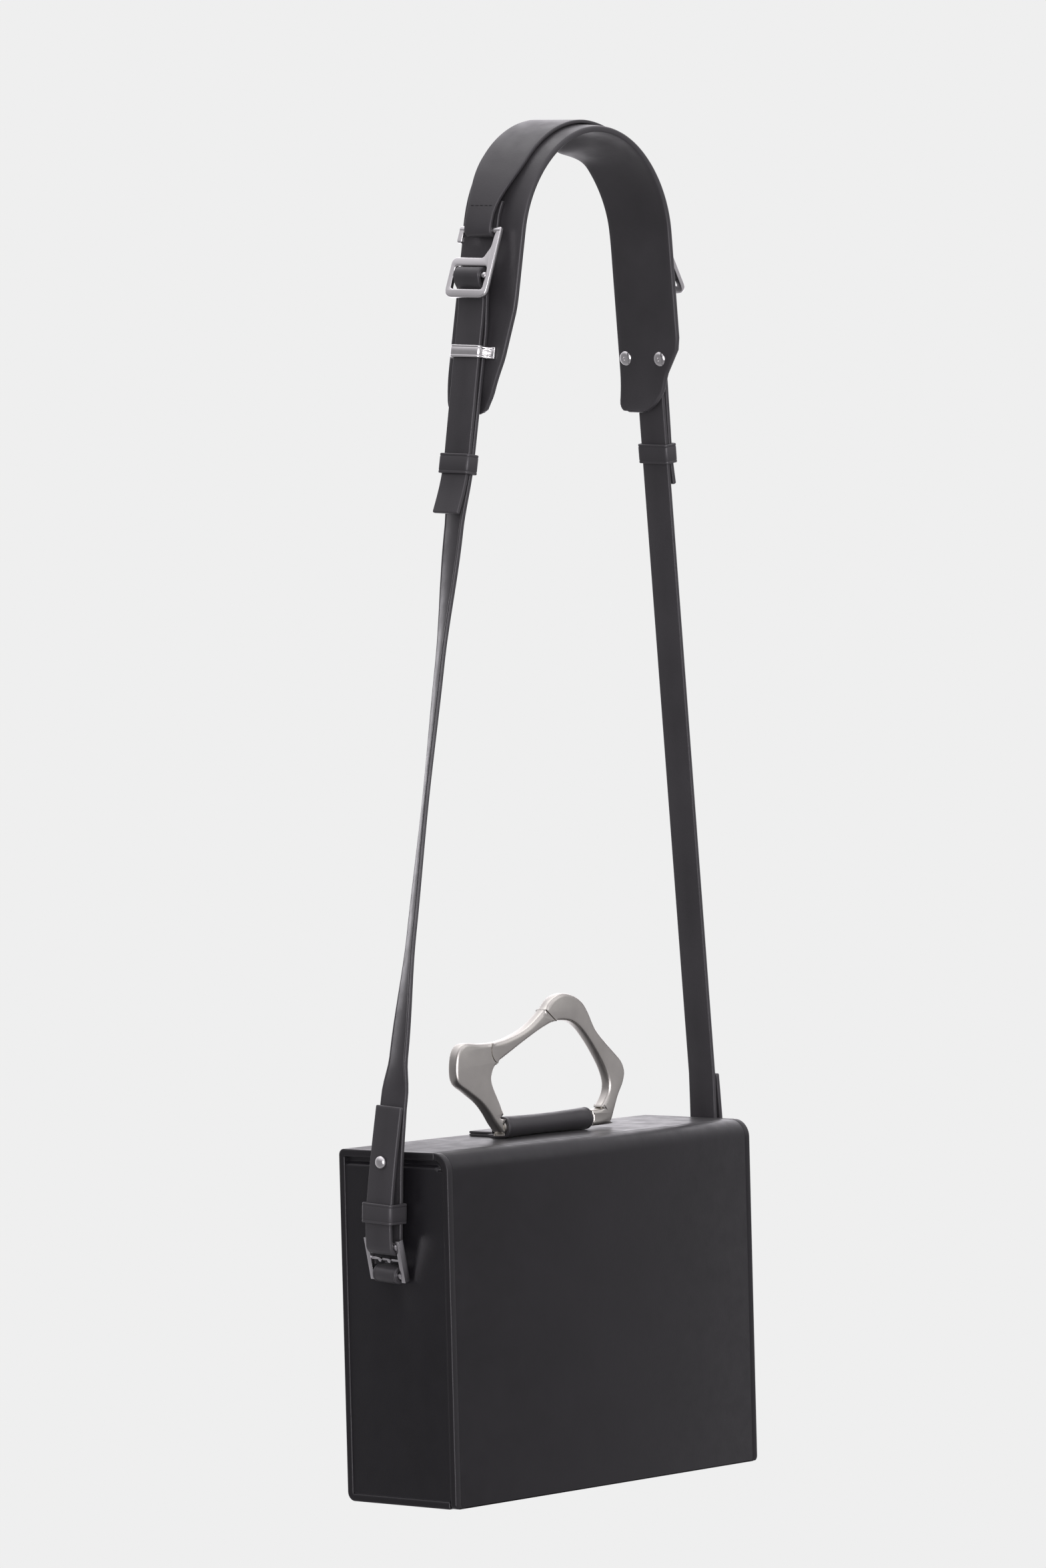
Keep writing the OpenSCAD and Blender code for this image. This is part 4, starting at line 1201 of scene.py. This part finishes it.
def slotted(mesh, cutter_mesh, place):
    """Cuts the placed cutter out of the mesh."""
    cutter_mesh.transform(place)
    cleaned(mesh)
    cleaned(cutter_mesh)
    holder = link(bpy.data.objects.new("holder", mesh))
    cutter = link(bpy.data.objects.new("slot", cutter_mesh))
    cut = holder.modifiers.new("slot", "BOOLEAN")
    cut.operation, cut.object, cut.solver = "DIFFERENCE", cutter, "EXACT"
    out = evaluated(holder)
    bpy.data.objects.remove(cutter)
    return out


# ---- build -----------------------------------------------------------------------

case_wrap()
flap_leather()
handle_tab()
handle_ring()
shoulder_pad()
top_strap()
for side in (LEFT, RIGHT):
    side_panel(side)
    strap(side)
    side_tab(side)
    keepers(side)
    bridge(side)
    bridge_screws(side)
    strap_stud(side)
    hook(side)
    top_strap_stitches(side)
    buckle(side)
    carried(SIDE_NAMES[side] + "_tab_plate", steel)
    carried(SIDE_NAMES[side] + "_tab_rivets", steel)
carried("front_wall", side_calf)
carried("inner_pocket", side_calf)
carried("case_lining", lining)
carried("flap_board", fibre)
carried("gate_pin", ring_edge)
for node in ("case_magnets", "flap_magnets", "handle_backplate", "handle_rivets", "gate_spring"):
    carried(node, steel)

# ---- camera, floor and light -------------------------------------------------------

PALE = (0.863, 0.863, 0.863)
ROOM_LIGHT, LEFT_LIGHT, SKY_LIGHT, FAR_LIGHT, NEAR_LIGHT = 0.40, 0.26, 0.7, 1.6, 5.0
FLOOR_DROP = 0.9


def camera():
    """Long lens from the front left, a little above the case's top."""
    azimuth, pitch, roll = (math.radians(a) for a in (-47.89, 1.911, -1.4695))
    distance, aside, height = 5.0582, -0.0100, 0.2315
    target = CASE_PLACE.translation + Vector((0, 0, height))
    level = math.cos(pitch)
    forward = Vector((-math.sin(azimuth)*level, math.cos(azimuth)*level, -math.sin(pitch)))
    right = Vector((math.cos(azimuth), math.sin(azimuth), 0))
    up = right.cross(forward)
    turned_right = right*math.cos(roll) + up*math.sin(roll)
    turned_up = up*math.cos(roll) - right*math.sin(roll)
    data = bpy.data.cameras.new("camera")
    data.lens = 176
    data.sensor_width = 36
    data.clip_end = 50
    cam = link(bpy.data.objects.new("camera", data))
    place = Matrix((turned_right, turned_up, -forward)).transposed().to_4x4()
    place.translation = target + right*aside - forward*distance
    cam.matrix_world = place
    bpy.context.scene.camera = cam


def area_light(name, place, target, size, energy):
    data = bpy.data.lights.new(name, "AREA")
    data.shape = "RECTANGLE"
    data.size, data.size_y = size
    data.energy = energy
    light = link(bpy.data.objects.new(name, data))
    light.location = place
    light.rotation_euler = (Vector(target) - Vector(place)).to_track_quat("-Z", "Y").to_euler()


def facing(tree, directions, towards, low, high, strength):
    """Light that grows to strength as the direction comes to point towards."""
    dot = tree.new("VectorMath", {0: directions, 1: towards}, operation="DOT_PRODUCT").outputs["Value"]
    return tree.span(dot, 0, strength, low, high)


def studio():
    """Even pale surroundings for the camera. As light they are bright, but darker from the left."""
    world = bpy.data.worlds.new("studio")
    bpy.context.scene.world = world
    world.use_nodes = True
    tree = Nodes(world.node_tree)
    light, output = (world.node_tree.nodes[name] for name in ("Background", "World Output"))
    directions = tree.new("TexCoord").outputs["Generated"]
    split = tree.new("SeparateXYZ", {"Vector": directions}).outputs
    room = tree.span(split["X"], LEFT_LIGHT, ROOM_LIGHT, -0.75, -0.15)
    sky = tree.span(split["Z"], 0, SKY_LIGHT, 0.25, 0.8)
    far = facing(tree, directions, (0.741, 0.671, 0.03), 0.62, 1.0, FAR_LIGHT)
    near = facing(tree, directions, (-0.67, -0.742, 0.05), 0.9, 1.0, NEAR_LIGHT)
    tree.put((0.98, 0.95, 1.0, 1), light.inputs["Color"])
    tree.put(tree.total(tree.total(room, sky), tree.total(far, near)), light.inputs["Strength"])
    seen = tree.new("Background", {"Color": (*PALE, 1)}).outputs["Background"]
    camera_ray = tree.new("LightPath").outputs["Is Camera Ray"]
    mix = tree.new("MixShader", {"Fac": camera_ray, 1: light.outputs["Background"], 2: seen})
    tree.put(mix.outputs["Shader"], output.inputs["Surface"])
    bpy.context.scene.view_settings.view_transform = "Standard"

    bpy.ops.mesh.primitive_plane_add(size=60, location=(0, 0, cad_bounds[0][2] - FLOOR_DROP))
    floor = bpy.context.object
    floor.name = "floor"
    surface = Surface("floor")
    surface.set(Base_Color=(0, 0, 0, 1), Roughness=1.0, Specular_IOR_Level=0,
                Emission_Color=(*PALE, 1), Emission_Strength=1)
    floor.data.materials.append(surface.material)
    floor.visible_diffuse = floor.visible_glossy = False

    middle = (0, 0.02, -0.5)
    area_light("overhead", (0.5, 1.0, 2.2), middle, (2.2, 1.2), 9)
    area_light("front", (1.9, -2.6, 0.9), middle, (1.6, 2.2), 6)


camera()
studio()

bpy.context.view_layer.update()
